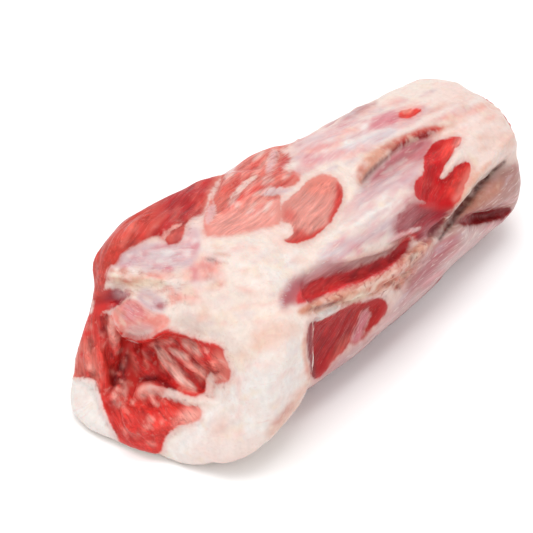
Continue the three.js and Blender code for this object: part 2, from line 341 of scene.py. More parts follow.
# Forms of the flank that the photo shows, in its pixels. Width and slope are millimetres.
shownForms = [
    # far red ridge, with its step down to the pale membrane
    form(1.5, outline=[(96, 268), (108, 238), (132, 212), (166, 188), (206, 168), (226, 168), (212, 186),
                       (204, 200), (200, 213), (188, 222), (180, 240), (150, 236), (122, 252)], slope=4),
    form(-1.5, path=[(228, 168), (216, 184), (209, 200), (206, 216)], width=4.5),
    # two pink ridges and the grooves beside them
    form(1.3, path=[(216, 196), (238, 174), (262, 156), (284, 142)], width=8),
    form(-1.2, path=[(222, 204), (240, 188), (258, 174), (276, 166)], width=3.4),
    form(1.3, path=[(226, 212), (246, 196), (266, 184), (292, 176)], width=7),
    form(-0.9, path=[(234, 216), (256, 202), (278, 194), (296, 188)], width=4),
    # the salmon muscle swells out of its film
    form(1.3, outline=[(284, 214), (292, 198), (306, 183), (322, 175), (338, 180), (345, 194), (338, 214),
                       (326, 230), (306, 242), (288, 244)], slope=7),
    form(-1.1, path=[(342, 180), (347, 196), (340, 216), (327, 233), (308, 244), (286, 247)], width=3.6),
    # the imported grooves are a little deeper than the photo's
    form(1.5, path=[(352, 194), (362, 178), (376, 164), (392, 153), (412, 144), (434, 134)], width=12),
    form(0.5, path=[(300, 300), (330, 284), (364, 272), (394, 256)], width=12),
    form(0.9, path=[(444, 236), (458, 214), (474, 194), (494, 174)], width=12),
    form(0.9, outline=[(118, 330), (150, 332), (190, 338), (222, 352), (226, 378), (196, 400), (150, 404),
                       (116, 396), (112, 360)], slope=9),
    # long bands of the upper muscle
    form(0.8, path=[(304, 168), (345, 152), (400, 130), (452, 112), (500, 98)], width=8),
    form(-0.7, path=[(300, 160), (345, 143), (396, 122), (440, 108)], width=3.6),
    form(0.7, path=[(300, 152), (345, 132), (390, 114), (430, 102)], width=6),
    form(-0.6, path=[(330, 132), (360, 117), (400, 104)], width=3.6),
    # the crease: its upper lip hangs over it
    form(-0.5, path=[(361, 184), (369, 172), (381, 162), (394, 152), (408, 145), (432, 135)], width=2.0),
    # the long middle belly and the hollow between it and the salmon muscle
    form(2.0, path=[(296, 276), (326, 252), (360, 228), (394, 206), (418, 182), (434, 158)], width=17,
         ends=(0.2, 0.5)),
    form(-1.0, path=[(304, 254), (334, 234), (350, 212), (356, 194)], width=7),
    form(0.7, path=[(320, 266), (350, 257), (384, 248), (406, 237)], width=3.2),
    # bright window, wine hollow and valley
    form(-0.9, outline=[(424, 169), (426, 152), (442, 139), (463, 137), (450, 160), (444, 178), (458, 164),
                        (471, 162), (466, 186), (450, 203), (424, 202), (414, 190)], slope=2.6),
    form(-0.9, outline=[(398, 224), (412, 206), (440, 200), (466, 188), (458, 206), (442, 228), (424, 242),
                        (404, 236)], slope=6),
    form(-1.2, outline=[(292, 304), (302, 290), (330, 277), (362, 266), (390, 253), (406, 236), (412, 242),
                        (400, 258), (376, 276), (346, 288), (312, 302)], slope=3.4),
    # tendon mass above the crevice, the crevice and the slit
    form(1.4, path=[(432, 226), (448, 206), (464, 186), (480, 164), (500, 146)], width=7),
    form(-2.6, path=[(440, 240), (450, 222), (461, 207), (473, 192), (486, 177), (504, 162)], width=3.4),
    form(-2.4, path=[(458, 223), (470, 218), (486, 216), (510, 213)], width=3.2),
    form(0.9, path=[(450, 246), (470, 230), (492, 222), (512, 218)], width=7),
    # flank window below the rope of fascia
    form(-1.7, outline=[(309, 324), (328, 316), (352, 304), (388, 299), (382, 318), (366, 337), (342, 352),
                        (322, 378), (311, 378)], slope=2.6),
    form(0.8, path=[(330, 350), (350, 328), (372, 308)], width=8),
    # lumps of the fat blanket
    form(1.2, outline=[(226, 352), (262, 330), (298, 338), (304, 372), (282, 412), (244, 428), (220, 396)],
         slope=9),
    form(0.8, path=[(214, 256), (250, 250), (288, 262)], width=10),
    form(-0.6, path=[(224, 300), (252, 306), (284, 300)], width=8),
    form(-0.7, path=[(236, 346), (248, 362), (246, 386)], width=4),
    form(0.9, path=[(106, 276), (122, 272), (136, 276)], width=5),
    form(0.8, path=[(130, 284), (150, 282), (172, 284), (196, 282)], width=5),
    form(-0.8, path=[(132, 290), (150, 296), (168, 310)], width=3.4),
    form(-0.8, path=[(120, 262), (146, 256), (178, 260)], width=8),
    # the boned-out face: its hollow, the masses round it and its pits
    form(-0.3, outline=[(122, 338), (150, 340), (168, 330), (192, 337), (214, 348), (226, 362), (222, 378),
                        (206, 388), (182, 392), (158, 386), (136, 382), (122, 372), (118, 352)], slope=5),
    form(1.6, outline=[(84, 346), (98, 330), (112, 336), (118, 352), (112, 378), (104, 396), (94, 384),
                       (88, 364)],
         slope=5),
    form(1.6, outline=[(112, 400), (136, 392), (170, 400), (196, 410), (176, 430), (146, 446), (120, 436)],
         slope=6),
    form(-1.1, path=[(126, 354), (121, 368), (114, 382), (107, 394)], width=3.2),
    form(-0.9, path=[(138, 380), (152, 379), (166, 385), (180, 393)], width=2.8),
    form(-1.2, path=[(106, 312), (105, 326), (103, 338)], width=3.0),
    form(-1.6, path=[(86, 342), (97, 344)], width=3.2),
    form(-1.4, path=[(92, 300), (108, 300), (126, 296)], width=4),
    form(-1.2, path=[(146, 412), (156, 402), (168, 404)], width=4.5),
]

# Forms of the hidden flank and the underside, in millimetres along the skin and degrees round it.
hiddenForms = [
    form(1.5, path=[(10, -66), (34, -62), (60, -56)], width=13),
    form(-1.3, path=[(6, -88), (30, -84), (62, -72), (84, -66)], width=5),
    form(1.5, path=[(66, -54), (88, -58), (116, -66), (138, -66)], width=12),
    form(-1.0, path=[(84, -48), (110, -50), (140, -50)], width=4),
    form(1.4, path=[(24, -104), (60, -96), (104, -88)], width=14),
    form(-1.8, path=[(40, -118), (76, -110), (118, -104), (150, -104)], width=4.5),
    form(1.4, path=[(26, -134), (66, -128), (112, -122)], width=13),
    form(-1.2, path=[(30, -152), (74, -144), (120, -138)], width=4.5),
    form(1.5, path=[(92, -94), (128, -90), (166, -84)], width=7),
    form(-1.2, path=[(100, -80), (136, -76), (162, -72)], width=4),
    form(1.0, path=[(40, 128), (80, 124), (120, 122)], width=12),
    form(-1.2, path=[(46, 146), (90, 142), (140, 138)], width=4.5),
    form(1.2, outline=[(6, -112), (26, -116), (36, -140), (30, -172), (8, -172)], slope=6),
]

# Forms of the narrow end, in millimetres toward the shown flank and up.
tipForms = [
    form(-1.6, path=[(-6, 22), (6, 24)], width=12),
    form(1.2, path=[(-16, 14), (-16, 26)], width=9),
    form(-1.4, path=[(-9, 12), (-9, 24), (-6, 34)], width=3.4),
    form(-1.4, path=[(-8, 30), (8, 29), (20, 26)], width=3.4),
    form(-1.2, path=[(0, 16), (12, 17), (20, 20)], width=3),
]


unevenness = {
    "wobble": (4 * mm, 7),  # size and seed of what frays the edges of the forms
    "ragged": 0.4,
    "waves": (7 * mm, 8),  # size and seed of low waves all over
    "height": 0.45,
    "stretch": (0.5, 1, 1),
}


def swellForms():
    points = readVectors(meat.data.vertices, "co")
    normals = readVectors(meat.data.vertices, "normal")
    seen, skin, tip = allCharts(points, normals)
    wobble = cloud(points, *unevenness["wobble"])
    stretched = points * np.array(unevenness["stretch"])
    rise = unevenness["height"] * cloud(stretched, *unevenness["waves"])
    for chart, forms in ((seen, shownForms), (skin, hiddenForms), (tip, tipForms)):
        for brush in forms:
            reached, depth = brushDepth(chart, {"ragged": unevenness["ragged"], **brush}, wobble)
            raiseSkin(rise, chart, brush, reached, depth)
    moveSkin(points, normals, rise)


topRoom = 1.1 * mm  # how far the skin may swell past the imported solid's top


def moveSkin(points, normals, rise):
    moved = points + normals * rise[:, None] * mm
    over = np.maximum(moved[:, 2] - high.z, 0)
    moved[:, 2] -= over - topRoom * (1 - np.exp(-over / topRoom))
    moved[:, 2] = np.maximum(moved[:, 2], low.z)
    meat.data.vertices.foreach_set("co", moved.astype(np.float32).ravel())
    meat.data.update()


swellForms()
smooth(meat, body["formSmoothing"])
print("large forms swollen")


# Sinews, fibres and torn edges that lie on the meat or bridge its hollows. Each is a tube along a path drawn
# in the photo's pixels, pressed into the body. Width and lift are millimetres.
def tube(width, path, lift=0.2, ends=(0.3, 0.3), settle=2):
    return {"width": width, "path": path, "lift": lift, "ends": ends, "settle": settle}


sinews = {
    "ropeMain": tube(2.6, [(300, 312), (318, 304), (336, 298), (354, 291), (372, 285), (388, 277), (400, 268),
                           (410, 257), (422, 247), (436, 238)], lift=0.4, ends=(0.3, 0.5)),
    "ropeUpper": tube(1.8, [(326, 294), (348, 287), (368, 280), (384, 273), (396, 264), (406, 252)],
                      lift=0.4),
    "ropeLower": tube(2.2, [(308, 317), (326, 311), (346, 304), (362, 298), (378, 293), (394, 286)],
                      lift=0.3),
    "ropeTwist": tube(1.6, [(334, 302), (352, 293), (370, 287), (388, 283), (404, 275), (416, 264)],
                      lift=0.9),
    "frayOne": tube(1.3, [(390, 284), (398, 274), (402, 264)], lift=0.7),
    "frayTwo": tube(1.3, [(396, 288), (408, 278), (418, 264)], lift=0.6),
    "frayThree": tube(1.2, [(404, 292), (410, 284), (424, 270)], lift=0.4),
    "fatLip": tube(3.0, [(298, 308), (304, 318), (306, 332), (304, 348), (306, 362), (310, 376), (304, 390),
                         (292, 406), (278, 424)], lift=-0.6, ends=(0.5, 0.4)),
    "crossSliver": tube(1.8, [(441, 178), (448, 168), (455, 159), (461, 150), (466, 142)], lift=0.1),
    "wineThread": tube(1.4, [(388, 241), (402, 234), (411, 231), (420, 228)], lift=0.4),
    "tendonLip": tube(3.0, [(434, 234), (446, 215), (457, 200), (468, 186), (481, 170), (497, 151),
                            (512, 134)],
                      lift=0.0, ends=(0.3, 0.8)),
    "bellySeam": tube(1.8, [(316, 264), (340, 260), (364, 256), (384, 249), (402, 240)], lift=0.1),
    "ridgeSinewOne": tube(1.8, [(230, 198), (240, 189), (248, 182), (258, 176)], lift=0.3),
    "ridgeSinewTwo": tube(2.2, [(260, 196), (272, 191), (294, 190)], lift=0.2),
    "ridgeSinewThree": tube(2.2, [(214, 188), (210, 200), (209, 214), (206, 224)], lift=0.3),
    "ridgeSinewFour": tube(2.4, [(264, 174), (270, 161), (277, 150)], lift=0.1),
    "farSinewOne": tube(1.6, [(122, 246), (129, 232), (138, 220)], lift=0.2),
    "farSinewTwo": tube(1.4, [(148, 234), (158, 222), (168, 212)], lift=0.1),
    "tornEdge": tube(1.8, [(160, 240), (166, 228), (176, 222), (184, 228)], lift=0.3),
    "membraneLip": tube(2.6, [(112, 314), (118, 326), (128, 335), (140, 338), (152, 335), (164, 326),
                              (178, 329), (192, 333), (204, 341), (220, 346)], lift=0.6, ends=(0.3, 0.4)),
    "membraneFoldOne": tube(2.0, [(110, 304), (120, 308), (130, 318)], lift=0.2),
    "membraneFoldTwo": tube(2.0, [(124, 290), (136, 300), (150, 310), (168, 314)], lift=0.3),
    "membraneFoldThree": tube(2.2, [(116, 282), (132, 278), (152, 278), (172, 282)], lift=0.3),
    "yellowLump": tube(4.2, [(108, 280), (116, 274), (126, 276)], lift=0.0),
    "strandOne": tube(3.2, [(156, 347), (164, 358), (173, 369), (184, 380), (196, 390)], lift=0.7, settle=8),
    "strandTwo": tube(2.4, [(168, 347), (180, 354), (192, 365), (206, 378)], lift=0.6, settle=8),
    "strandThree": tube(2.2, [(178, 341), (190, 345), (199, 354), (208, 368)], lift=0.6, settle=6),
    "strandFour": tube(2.2, [(146, 352), (152, 364), (162, 376), (178, 389)], lift=0.5, settle=6),
    "strandFive": tube(1.8, [(198, 346), (208, 354), (216, 366), (220, 378)], lift=0.4, settle=6),
    "hollowFleshOne": tube(3.0, [(132, 344), (136, 358), (140, 372)], lift=0.4, settle=5),
    "hollowFleshTwo": tube(2.6, [(144, 344), (147, 356), (150, 368)], lift=0.4, settle=5),
    "faceFat": tube(4.6, [(138, 388), (152, 387), (166, 390), (182, 396), (200, 400), (216, 404)], lift=0.6,
                    ends=(0.4, 0.3)),
    "faceCorner": tube(2.4, [(208, 396), (210, 386), (212, 375)], lift=0.4),
    "leftFleshOne": tube(3.0, [(110, 318), (113, 332), (117, 348), (112, 364)], lift=0.4),
    "leftFleshTwo": tube(3.2, [(96, 346), (102, 362), (106, 382), (104, 400)], lift=0.3),
    "leftFleshThree": tube(3.0, [(86, 352), (90, 362), (94, 372)], lift=0.5),
    "tornLumpOne": tube(3.4, [(112, 404), (116, 394), (124, 385)], lift=0.4),
    "tornLumpTwo": tube(3.2, [(136, 398), (144, 389), (154, 392)], lift=0.4),
    "lowerFleshOne": tube(3.0, [(124, 404), (128, 418), (132, 434)], lift=0.3),
    "lowerFleshTwo": tube(3.0, [(160, 400), (172, 412), (176, 426)], lift=0.3),
    "blockEdge": tube(2.6, [(72, 378), (86, 380), (98, 384), (101, 398), (106, 412), (114, 428)], lift=0.5),
}


def skinSeenAt(tree, spot):  # the place on the skin that the photo shows at one of its pixels
    right, up, back = viewAxes()
    middle = photoView["frame"] / 2
    ray = (right * (spot[0] - middle) - up * (spot[1] - middle)) / zoom - back
    place, normal, _, _ = tree.ray_cast(eyePlace(), ray.normalized())
    return place, normal


def sinewPath(tree, sinew):
    found = [skinSeenAt(tree, spot) for spot in rounded(sinew["path"], False)]
    found = [(place, normal) for place, normal in found if place is not None]
    places = np.array([place for place, _ in found])
    normals = np.array([normal for _, normal in found])
    for _ in range(sinew["settle"]):  # a taut strand doesn't follow each dent under it
        for line in (places, normals):
            line[1:-1] = (line[:-2] + 2 * line[1:-1] + line[2:]) / 4
    return places + normals * sinew["lift"] * mm


strandShape = {
    "dimensions": "3D",
    "resolution_u": 3,
    "bevel_depth": mm,  # radii are millimetres
    "bevel_resolution": 2,
    "use_fill_caps": True,
}


def layStrand(name, path, radii):
    bpy.ops.object.select_all(action="DESELECT")
    bpy.ops.curve.primitive_bezier_curve_add()
    strand = bpy.context.object
    strand.name = name
    bpy.ops.object.mode_set(mode="EDIT")
    bpy.ops.curve.select_all(action="SELECT")
    bpy.ops.curve.delete(type="VERT")
    for place, radius in zip(path, radii):
        bpy.ops.curve.vertex_add(location=place)
        bpy.ops.curve.radius_set(radius=radius)
    bpy.ops.curve.select_all(action="SELECT")
    bpy.ops.curve.handle_type_set(type="AUTOMATIC")
    bpy.ops.object.mode_set(mode="OBJECT")
    for key, value in strandShape.items():
        setattr(strand.data, key, value)
    bpy.ops.object.convert(target="MESH")
    return bpy.context.object


def growSinews():
    tree = BVHTree.FromObject(meat, bpy.context.evaluated_depsgraph_get())
    strands = []
    for name, sinew in sinews.items():
        path = sinewPath(tree, sinew)
        radii = sinew["width"] / 2 * swelling(np.linspace(0, 1, len(path)), sinew["ends"])
        strands.append(layStrand(name, path, radii))
    selectOnly(meat)
    for strand in strands:
        strand.select_set(True)
    bpy.ops.object.join()


growSinews()
drawSkin(meat, body["voxel"], body["smoothing"])
bpy.ops.object.shade_smooth()
print("sinews grown in:", len(meat.data.vertices), "points")


# Tones of raw lamb, as they look on a screen.
tones = {
    "ridgeRed": (184, 30, 34),
    "ridgeOrange": (206, 66, 54),
    "pinkRidge": (224, 114, 101),
    "pinkFade": (240, 158, 146),
    "salmon": (226, 146, 134),
    "salmonRim": (210, 62, 54),
    "salmonWarm": (240, 138, 122),
    "brightRed": (202, 10, 18),
    "lightRed": (236, 66, 56),
    "wine": (160, 24, 40),
    "deepWine": (182, 32, 38),
    "valleyRed": (216, 58, 62),
    "flankRed": (184, 34, 34),
    "mauve": (190, 138, 140),
    "mauveDark": (180, 98, 104),
    "faceRed": (216, 54, 48),
    "faceDeep": (222, 44, 40),
    "facePit": (142, 16, 22),
    "facePink": (250, 176, 162),
    "strandPink": (255, 206, 192),
    "cream": (240, 222, 212),
    "creamPink": (240, 214, 205),
    "creamYellow": (240, 218, 196),
    "white": (240, 232, 227),
    "lilac": (214, 184, 188),
    "bluish": (224, 208, 210),
    "pinkFilm": (230, 180, 180),
    "magentaFilm": (216, 128, 138),
    "peach": (228, 176, 156),
    "tan": (210, 142, 118),
    "rust": (196, 104, 90),
    "brown": (120, 54, 48),
    "blackRed": (64, 18, 16),
    "taupe": (182, 134, 126),
    "taupeLight": (206, 176, 172),
    "lilacShade": (206, 182, 188),
}
films = {"lilac", "bluish", "pinkFilm", "magentaFilm", "mauve", "mauveDark", "taupe", "taupeLight"}

points = readVectors(meat.data.vertices, "co")
normals = readVectors(meat.data.vertices, "normal")
seen, skin, tip = allCharts(points, normals)
frayed = ((0.6, 3 * mm, 1), (0.4, 1.5 * mm, 2))  # share, size and seed of what frays the brushes' edges
wobble = sum(share * cloud(points, size, seed) for share, size, seed in frayed)

# The canvas holds, for each point: the lean under the skin, the pale cover over it, how deep inside the
# cover the point lies in millimetres (below zero the lean shows), how soft that edge is, how much of the
# cover is silverskin instead of fat, how stringy the skin is, and the relief.
count = len(points)
deepest = 4.0
canvas = {
    "lean": np.tile(linear(tones["faceRed"]), (count, 1)),
    "cover": np.tile(linear(tones["creamPink"]), (count, 1)),
    "depth": np.full(count, deepest),
    "soft": np.full(count, usual["soft"]),
    "film": np.zeros(count),
    "stringy": np.zeros(count),
    "rise": np.zeros(count),
}


reachOf = {  # how far past a brush's outline, in millimetres, each thing goes
    "edge": 0.2,
    "lean": (-2.5, -0.5),
    "softness": (-3, -0.5),
}


def paint(chart, brush):
    reached, depth = brushDepth(chart, brush, wobble)
    weight = chart.weight[reached] * brush.get("amount", 1)
    soft = brush.get("soft", usual["soft"])
    part = ease(depth, -soft / 2 - reachOf["edge"], soft / 2 + reachOf["edge"]) * weight
    kind = brush["on"]
    if kind == "stringy":
        canvas["stringy"][reached] += part * (1 - canvas["stringy"][reached])
        return
    tone = linear(tones[brush["tone"]])
    if kind in ("window", "lean"):
        reach = ease(depth, *reachOf["lean"]) * weight if kind == "window" else part
        canvas["lean"][reached] += reach[:, None] * (tone - canvas["lean"][reached])
    else:
        canvas["cover"][reached] += part[:, None] * (tone - canvas["cover"][reached])
        canvas["film"][reached] += part * ((brush["tone"] in films) - canvas["film"][reached])
    if kind in ("window", "laid"):
        old = canvas["depth"][reached]
        new = np.minimum(old, -depth) if kind == "window" else np.maximum(old, depth)
        canvas["depth"][reached] = old + chart.weight[reached] * (np.clip(new, -deepest, deepest) - old)
        near = ease(depth, *reachOf["softness"]) * chart.weight[reached]
        canvas["soft"][reached] += near * (soft - canvas["soft"][reached])
    if "rise" in brush:
        raiseSkin(canvas["rise"], chart, brush, reached, depth)


def window(tone, outline, **more):  # an opening in the cover, where the lean shows
    return {"on": "window", "tone": tone, "outline": outline, **more}


def patch(kind, tone, outline, **more):  # lean or cover in another tone, or cover laid over the lean
    return {"on": kind, "tone": tone, "outline": outline, **more}


def stroke(kind, tone, width, path, **more):
    return {"on": kind, "tone": tone, "width": width, "path": path, **more}


def scattered(kind, names, many, outline, way, seed, length=(5, 14), width=(0.8, 1.3), soft=1.0, amount=0.5,
              fan=0.25):
    random = np.random.default_rng(seed)  # fine strokes strewn over an area, all much the same way
    outline = np.array(outline, float)
    starts = random.uniform(outline.min(0), outline.max(0), (many * 3, 2))
    starts = starts[inside(starts, outline)][:many]
    turn = math.atan2(way[1], way[0])
    strokes = []
    for x, y in starts:
        angle = turn + random.normal(0, fan)
        reach = random.uniform(*length) / 2
        bend = random.normal(0, 0.08 * reach)
        step = np.array((math.cos(angle), math.sin(angle))) * reach
        across = np.array((-step[1], step[0])) / reach * bend
        middle = np.array((x, y))
        path = [middle - step, middle + across, middle + step]
        strokes.append(stroke(kind, names[random.integers(len(names))], random.uniform(*width), path,
                              soft=soft, amount=amount * random.uniform(0.6, 1.4), ends=(0.2, 0.2)))
    return strokes


# What the photo shows, in its own pixels. Widths, softness and rise are millimetres.
upperMuscle = [
    patch("cover", "cream", [(285, 120), (340, 90), (540, 60), (540, 230), (440, 240), (340, 270),
                             (285, 300)]),
    patch("cover", "creamPink", [(430, 60), (560, 60), (560, 190), (484, 190), (468, 150), (440, 130)],
          soft=8),
    patch("cover", "peach", [(476, 60), (560, 60), (560, 150), (496, 150), (480, 110)], soft=9, amount=0.3),
    stroke("cover", "bluish", 6, [(318, 158), (345, 146), (375, 134), (405, 124)], soft=3),
    stroke("cover", "lilac", 6, [(298, 158), (320, 150), (344, 142)], soft=2.5),
    stroke("cover", "magentaFilm", 2, [(306, 165), (322, 157), (340, 152)], soft=2, amount=0.6),
    stroke("cover", "bluish", 5, [(310, 152), (330, 145), (350, 140)], soft=2, amount=0.8),
    stroke("cover", "pinkFilm", 4, [(298, 167), (312, 161), (328, 154), (342, 152)], soft=2, amount=0.9),
    stroke("cover", "magentaFilm", 4.4, [(370, 127), (384, 121), (400, 115)], soft=2),
    stroke("cover", "pinkFilm", 2.4, [(350, 136), (366, 129), (382, 122)], soft=2, amount=0.6),
    stroke("cover", "mauveDark", 3.4, [(328, 126), (342, 118), (356, 110), (374, 103)], soft=2, amount=0.75),
    stroke("cover", "pinkRidge", 2, [(300, 141), (318, 137), (334, 133)], soft=2, amount=0.5),
    stroke("cover", "pinkFilm", 4, [(296, 146), (320, 139), (345, 132)], soft=2, amount=0.8),
    stroke("cover", "white", 1.6, [(306, 160), (330, 149), (356, 139), (390, 127)], soft=1.2, rise=0.2),
    stroke("cover", "white", 1.4, [(322, 144), (350, 133), (380, 121), (410, 112)], soft=1.2, rise=0.2,
           amount=0.8),
    stroke("cover", "peach", 2.2, [(400, 122), (430, 112), (468, 104)], soft=2, amount=0.5),
    stroke("cover", "pinkFade", 2, [(440, 118), (462, 112), (486, 108)], soft=2, amount=0.5),
    window("lightRed", [(398, 115), (400, 111), (410, 109), (420, 108), (421, 111), (415, 116), (408, 119),
                        (400, 118)],
           soft=0.7, rise=-0.4),
    stroke("lean", "salmonWarm", 1.2, [(402, 111), (412, 110)]),
    *scattered("cover", ("pinkFilm", "magentaFilm", "lilacShade", "white", "pinkFade"), 90,
               [(292, 172), (292, 140), (340, 116), (440, 88), (470, 110), (430, 126), (380, 142),
                (352, 166), (320, 176)], (1, -0.36), 31,
               length=(10, 34), width=(0.8, 1.6), soft=1.4, amount=0.5, fan=0.07),
    stroke("cover", "magentaFilm", 3.4, [(371, 126), (384, 121), (398, 116)], soft=2, amount=0.9),
    *scattered("cover", ("pinkFade", "peach", "white"), 50, [(420, 130), (440, 100), (520, 84), (530, 160),
               (480, 150)], (1, -0.3), 32, length=(8, 26), width=(0.8, 1.6), soft=1.6, amount=0.35, fan=0.15),
]

topCrease = [
    patch("cover", "peach", [(357, 184), (357, 172), (362, 160), (372, 150), (386, 143), (402, 136),
                             (420, 130), (440, 127), (456, 122), (448, 130), (430, 136), (414, 143),
                             (398, 151), (382, 163), (370, 174), (362, 184)], soft=2.6),
    stroke("cover", "tan", 3, [(360, 182), (364, 168), (376, 156), (392, 147), (410, 140)], soft=2.4,
           amount=0.6),
    stroke("cover", "rust", 1.6, [(359, 181), (360, 172), (365, 163)], soft=1.5, amount=0.6),
    # painted shadow under the crease's overhanging lip: the red and rust flesh along the groove is darkened,
    # and the brown and near-black lines are shadow only
    stroke("cover", "rust", 2.4, [(384, 149), (400, 141), (418, 134), (440, 128)], soft=1.6, amount=0.9),
    stroke("cover", "salmonRim", 2.6, [(400, 143), (420, 135), (442, 128)], soft=1.8, amount=0.9),
    stroke("cover", "brown", 1.1, [(362, 182), (370, 173), (380, 163), (392, 153)], soft=1.0, amount=0.9),
    stroke("cover", "facePit", 2.3, [(390, 153), (404, 145), (418, 139), (434, 132)], soft=1.4),
]

middleBelly = [
    patch("cover", "lilac", [(366, 182), (380, 168), (398, 154), (420, 143), (430, 147), (423, 160),
                             (420, 172), (412, 182), (396, 194), (378, 204), (360, 212), (352, 205)], soft=4),
    patch("cover", "magentaFilm", [(380, 172), (392, 158), (408, 148), (426, 141), (430, 146), (422, 156),
                                   (410, 166), (394, 175), (382, 178)], soft=3, amount=1),
    stroke("cover", "magentaFilm", 2.4, [(372, 180), (388, 168), (404, 156), (422, 147)], soft=2),
    stroke("cover", "magentaFilm", 2.6, [(390, 164), (404, 154), (418, 147), (430, 142)], soft=2.4),
    # painted highlight: a cream band along the belly's ridge
    stroke("cover", "cream", 6, [(352, 232), (376, 214), (400, 200), (412, 190)], soft=3.5, amount=0.7),
    patch("cover", "pinkFilm", [(398, 182), (402, 166), (412, 160), (422, 158), (420, 172), (410, 184)],
          soft=2.5, amount=0.6),
    patch("cover", "lilac", [(330, 246), (345, 234), (364, 224), (384, 212), (404, 204), (404, 218),
                             (392, 230), (372, 242), (350, 250), (334, 254)], soft=3.5),
    patch("cover", "bluish", [(316, 262), (322, 250), (340, 246), (352, 250), (340, 260), (322, 270)],
          soft=3),
    # painted highlight: a second cream band along the belly's ridge
    stroke("cover", "cream", 6, [(340, 236), (364, 220), (390, 206), (408, 194)], soft=4, amount=0.8),
    stroke("cover", "mauve", 4, [(352, 262), (376, 252), (396, 238)], soft=3, amount=0.6),
    stroke("cover", "peach", 1.4, [(318, 262), (340, 259), (362, 256), (382, 249), (396, 241)], soft=1.4,
           amount=0.7),
    stroke("cover", "cream", 3, [(350, 252), (372, 246), (390, 240), (404, 233), (418, 229)], soft=1.6,
           rise=0.3),
    stroke("cover", "white", 1.2, [(352, 226), (374, 214), (396, 202)], soft=1, rise=0.2),
    stroke("cover", "white", 1.0, [(360, 208), (380, 196), (400, 184)], soft=1, rise=0.2, amount=0.7),
    *scattered("cover", ("pinkFilm", "magentaFilm", "lilacShade", "white"), 90,
               [(312, 264), (340, 222), (352, 196), (384, 166), (422, 146), (420, 180), (404, 226),
                (370, 256)], (1, -0.72), 33, length=(9, 30),
               width=(0.8, 1.5), soft=1.4, amount=0.5, fan=0.08),
]

salmonWindow = [
    window("salmon", [(306, 182), (316, 176), (327, 174), (336, 178), (342, 185), (344, 194), (341, 204),
                      (336, 214), (331, 223), (323, 230), (314, 237), (304, 242), (294, 244), (284, 242),
                      (285, 239), (293, 236), (294, 229), (290, 222), (281, 221), (280, 212), (281, 204),
                      (290, 197), (298, 192)],
           soft=0.7, rise=-0.35, slope=1.4),
    patch("lean", "salmonWarm", [(305, 190), (312, 178), (328, 175), (336, 182), (334, 192), (318, 194)],
          soft=3),
    # painted shade: the red rim along the right and lower edges is flesh painted darker where the muscle dips
    # under the film's edge
    stroke("lean", "salmonRim", 2.4, [(338, 184), (341, 195), (338, 206), (333, 217), (330, 222)], soft=1.4),
    stroke("lean", "salmonRim", 2.2, [(328, 226), (320, 232), (310, 238), (298, 242), (285, 242)], soft=1.2),
    patch("lean", "salmonRim", [(288, 243), (292, 236), (296, 228), (306, 230), (312, 236), (302, 243)],
          soft=2, amount=0.75),
    patch("lean", "salmonRim", [(282, 219), (283, 208), (290, 206), (298, 214), (294, 221)], soft=2.5,
          amount=0.55),
    stroke("lean", "facePink", 1.6, [(300, 224), (312, 212), (322, 200)], soft=2, amount=0.5, ragged=0.8),
    stroke("lean", "facePink", 1.4, [(308, 232), (322, 220), (332, 206)], soft=2, amount=0.5, ragged=0.8),
]

brightWindow = [
    window("brightRed", [(424, 169), (423, 158), (428, 150), (434, 143), (442, 139), (452, 138), (463, 137),
                         (460, 142), (456, 149), (452, 156), (447, 161), (443, 168), (441, 177), (444, 179),
                         (449, 174), (454, 168), (460, 163), (470, 161), (471, 168), (469, 177), (465, 186),
                         (460, 194), (450, 203), (436, 206), (424, 202), (415, 199), (414, 187), (417, 178),
                         (424, 174)], soft=0.6, ragged=0.5, rise=-0.35, slope=1.4),
    patch("lean", "lightRed", [(440, 142), (458, 138), (458, 146), (450, 158), (444, 164), (442, 154)],
          soft=2),
    patch("lean", "lightRed", [(446, 186), (456, 176), (466, 166), (472, 164), (470, 178), (460, 194),
                               (450, 198)],
          soft=3, amount=0.9),
    patch("lean", "pinkRidge", [(462, 180), (470, 166), (474, 170), (468, 188), (458, 202), (452, 202)],
          soft=2),
    patch("lean", "pinkFade", [(456, 138), (466, 136), (462, 146), (454, 152)], soft=2.4, amount=0.8),
    *scattered("lean", ("faceDeep", "facePit", "lightRed"), 26, [(424, 170), (430, 148), (458, 140),
                                                                 (446, 176),
               (468, 166), (460, 190), (430, 202), (418, 194)], (1, -1.1), 56, length=(5, 15),
               width=(0.8, 1.3), amount=0.35, fan=0.2),
    stroke("laid", "cream", 1.9, [(441, 178), (448, 168), (455, 159), (461, 149), (467, 140)], soft=0.6),
    stroke("cover", "peach", 1.6, [(469, 184), (474, 172), (476, 160)], soft=2, amount=0.6),
]

wineHollow = [
    window("wine", [(398, 222), (404, 212), (414, 205), (428, 203), (444, 200), (456, 196), (464, 190),
                    (460, 200), (452, 210), (445, 222), (437, 234), (428, 240), (419, 243), (411, 236),
                    (402, 232), (396, 232)],
           soft=3.6),
    patch("lean", "mauveDark", [(396, 232), (404, 212), (418, 206), (416, 222), (408, 238), (400, 238)],
          soft=4, amount=0.8),
    patch("lean", "mauveDark", [(424, 226), (440, 220), (440, 236), (428, 246), (418, 244)], soft=3),
    stroke("lean", "pinkRidge", 4, [(440, 204), (452, 200), (464, 190)], soft=3, amount=0.7),
    stroke("cover", "mauveDark", 5, [(394, 238), (404, 222), (412, 208), (424, 202)], soft=4, amount=0.9),
    stroke("laid", "pinkFilm", 1.4, [(388, 241), (402, 234), (411, 231), (420, 228)], soft=0.8),
]

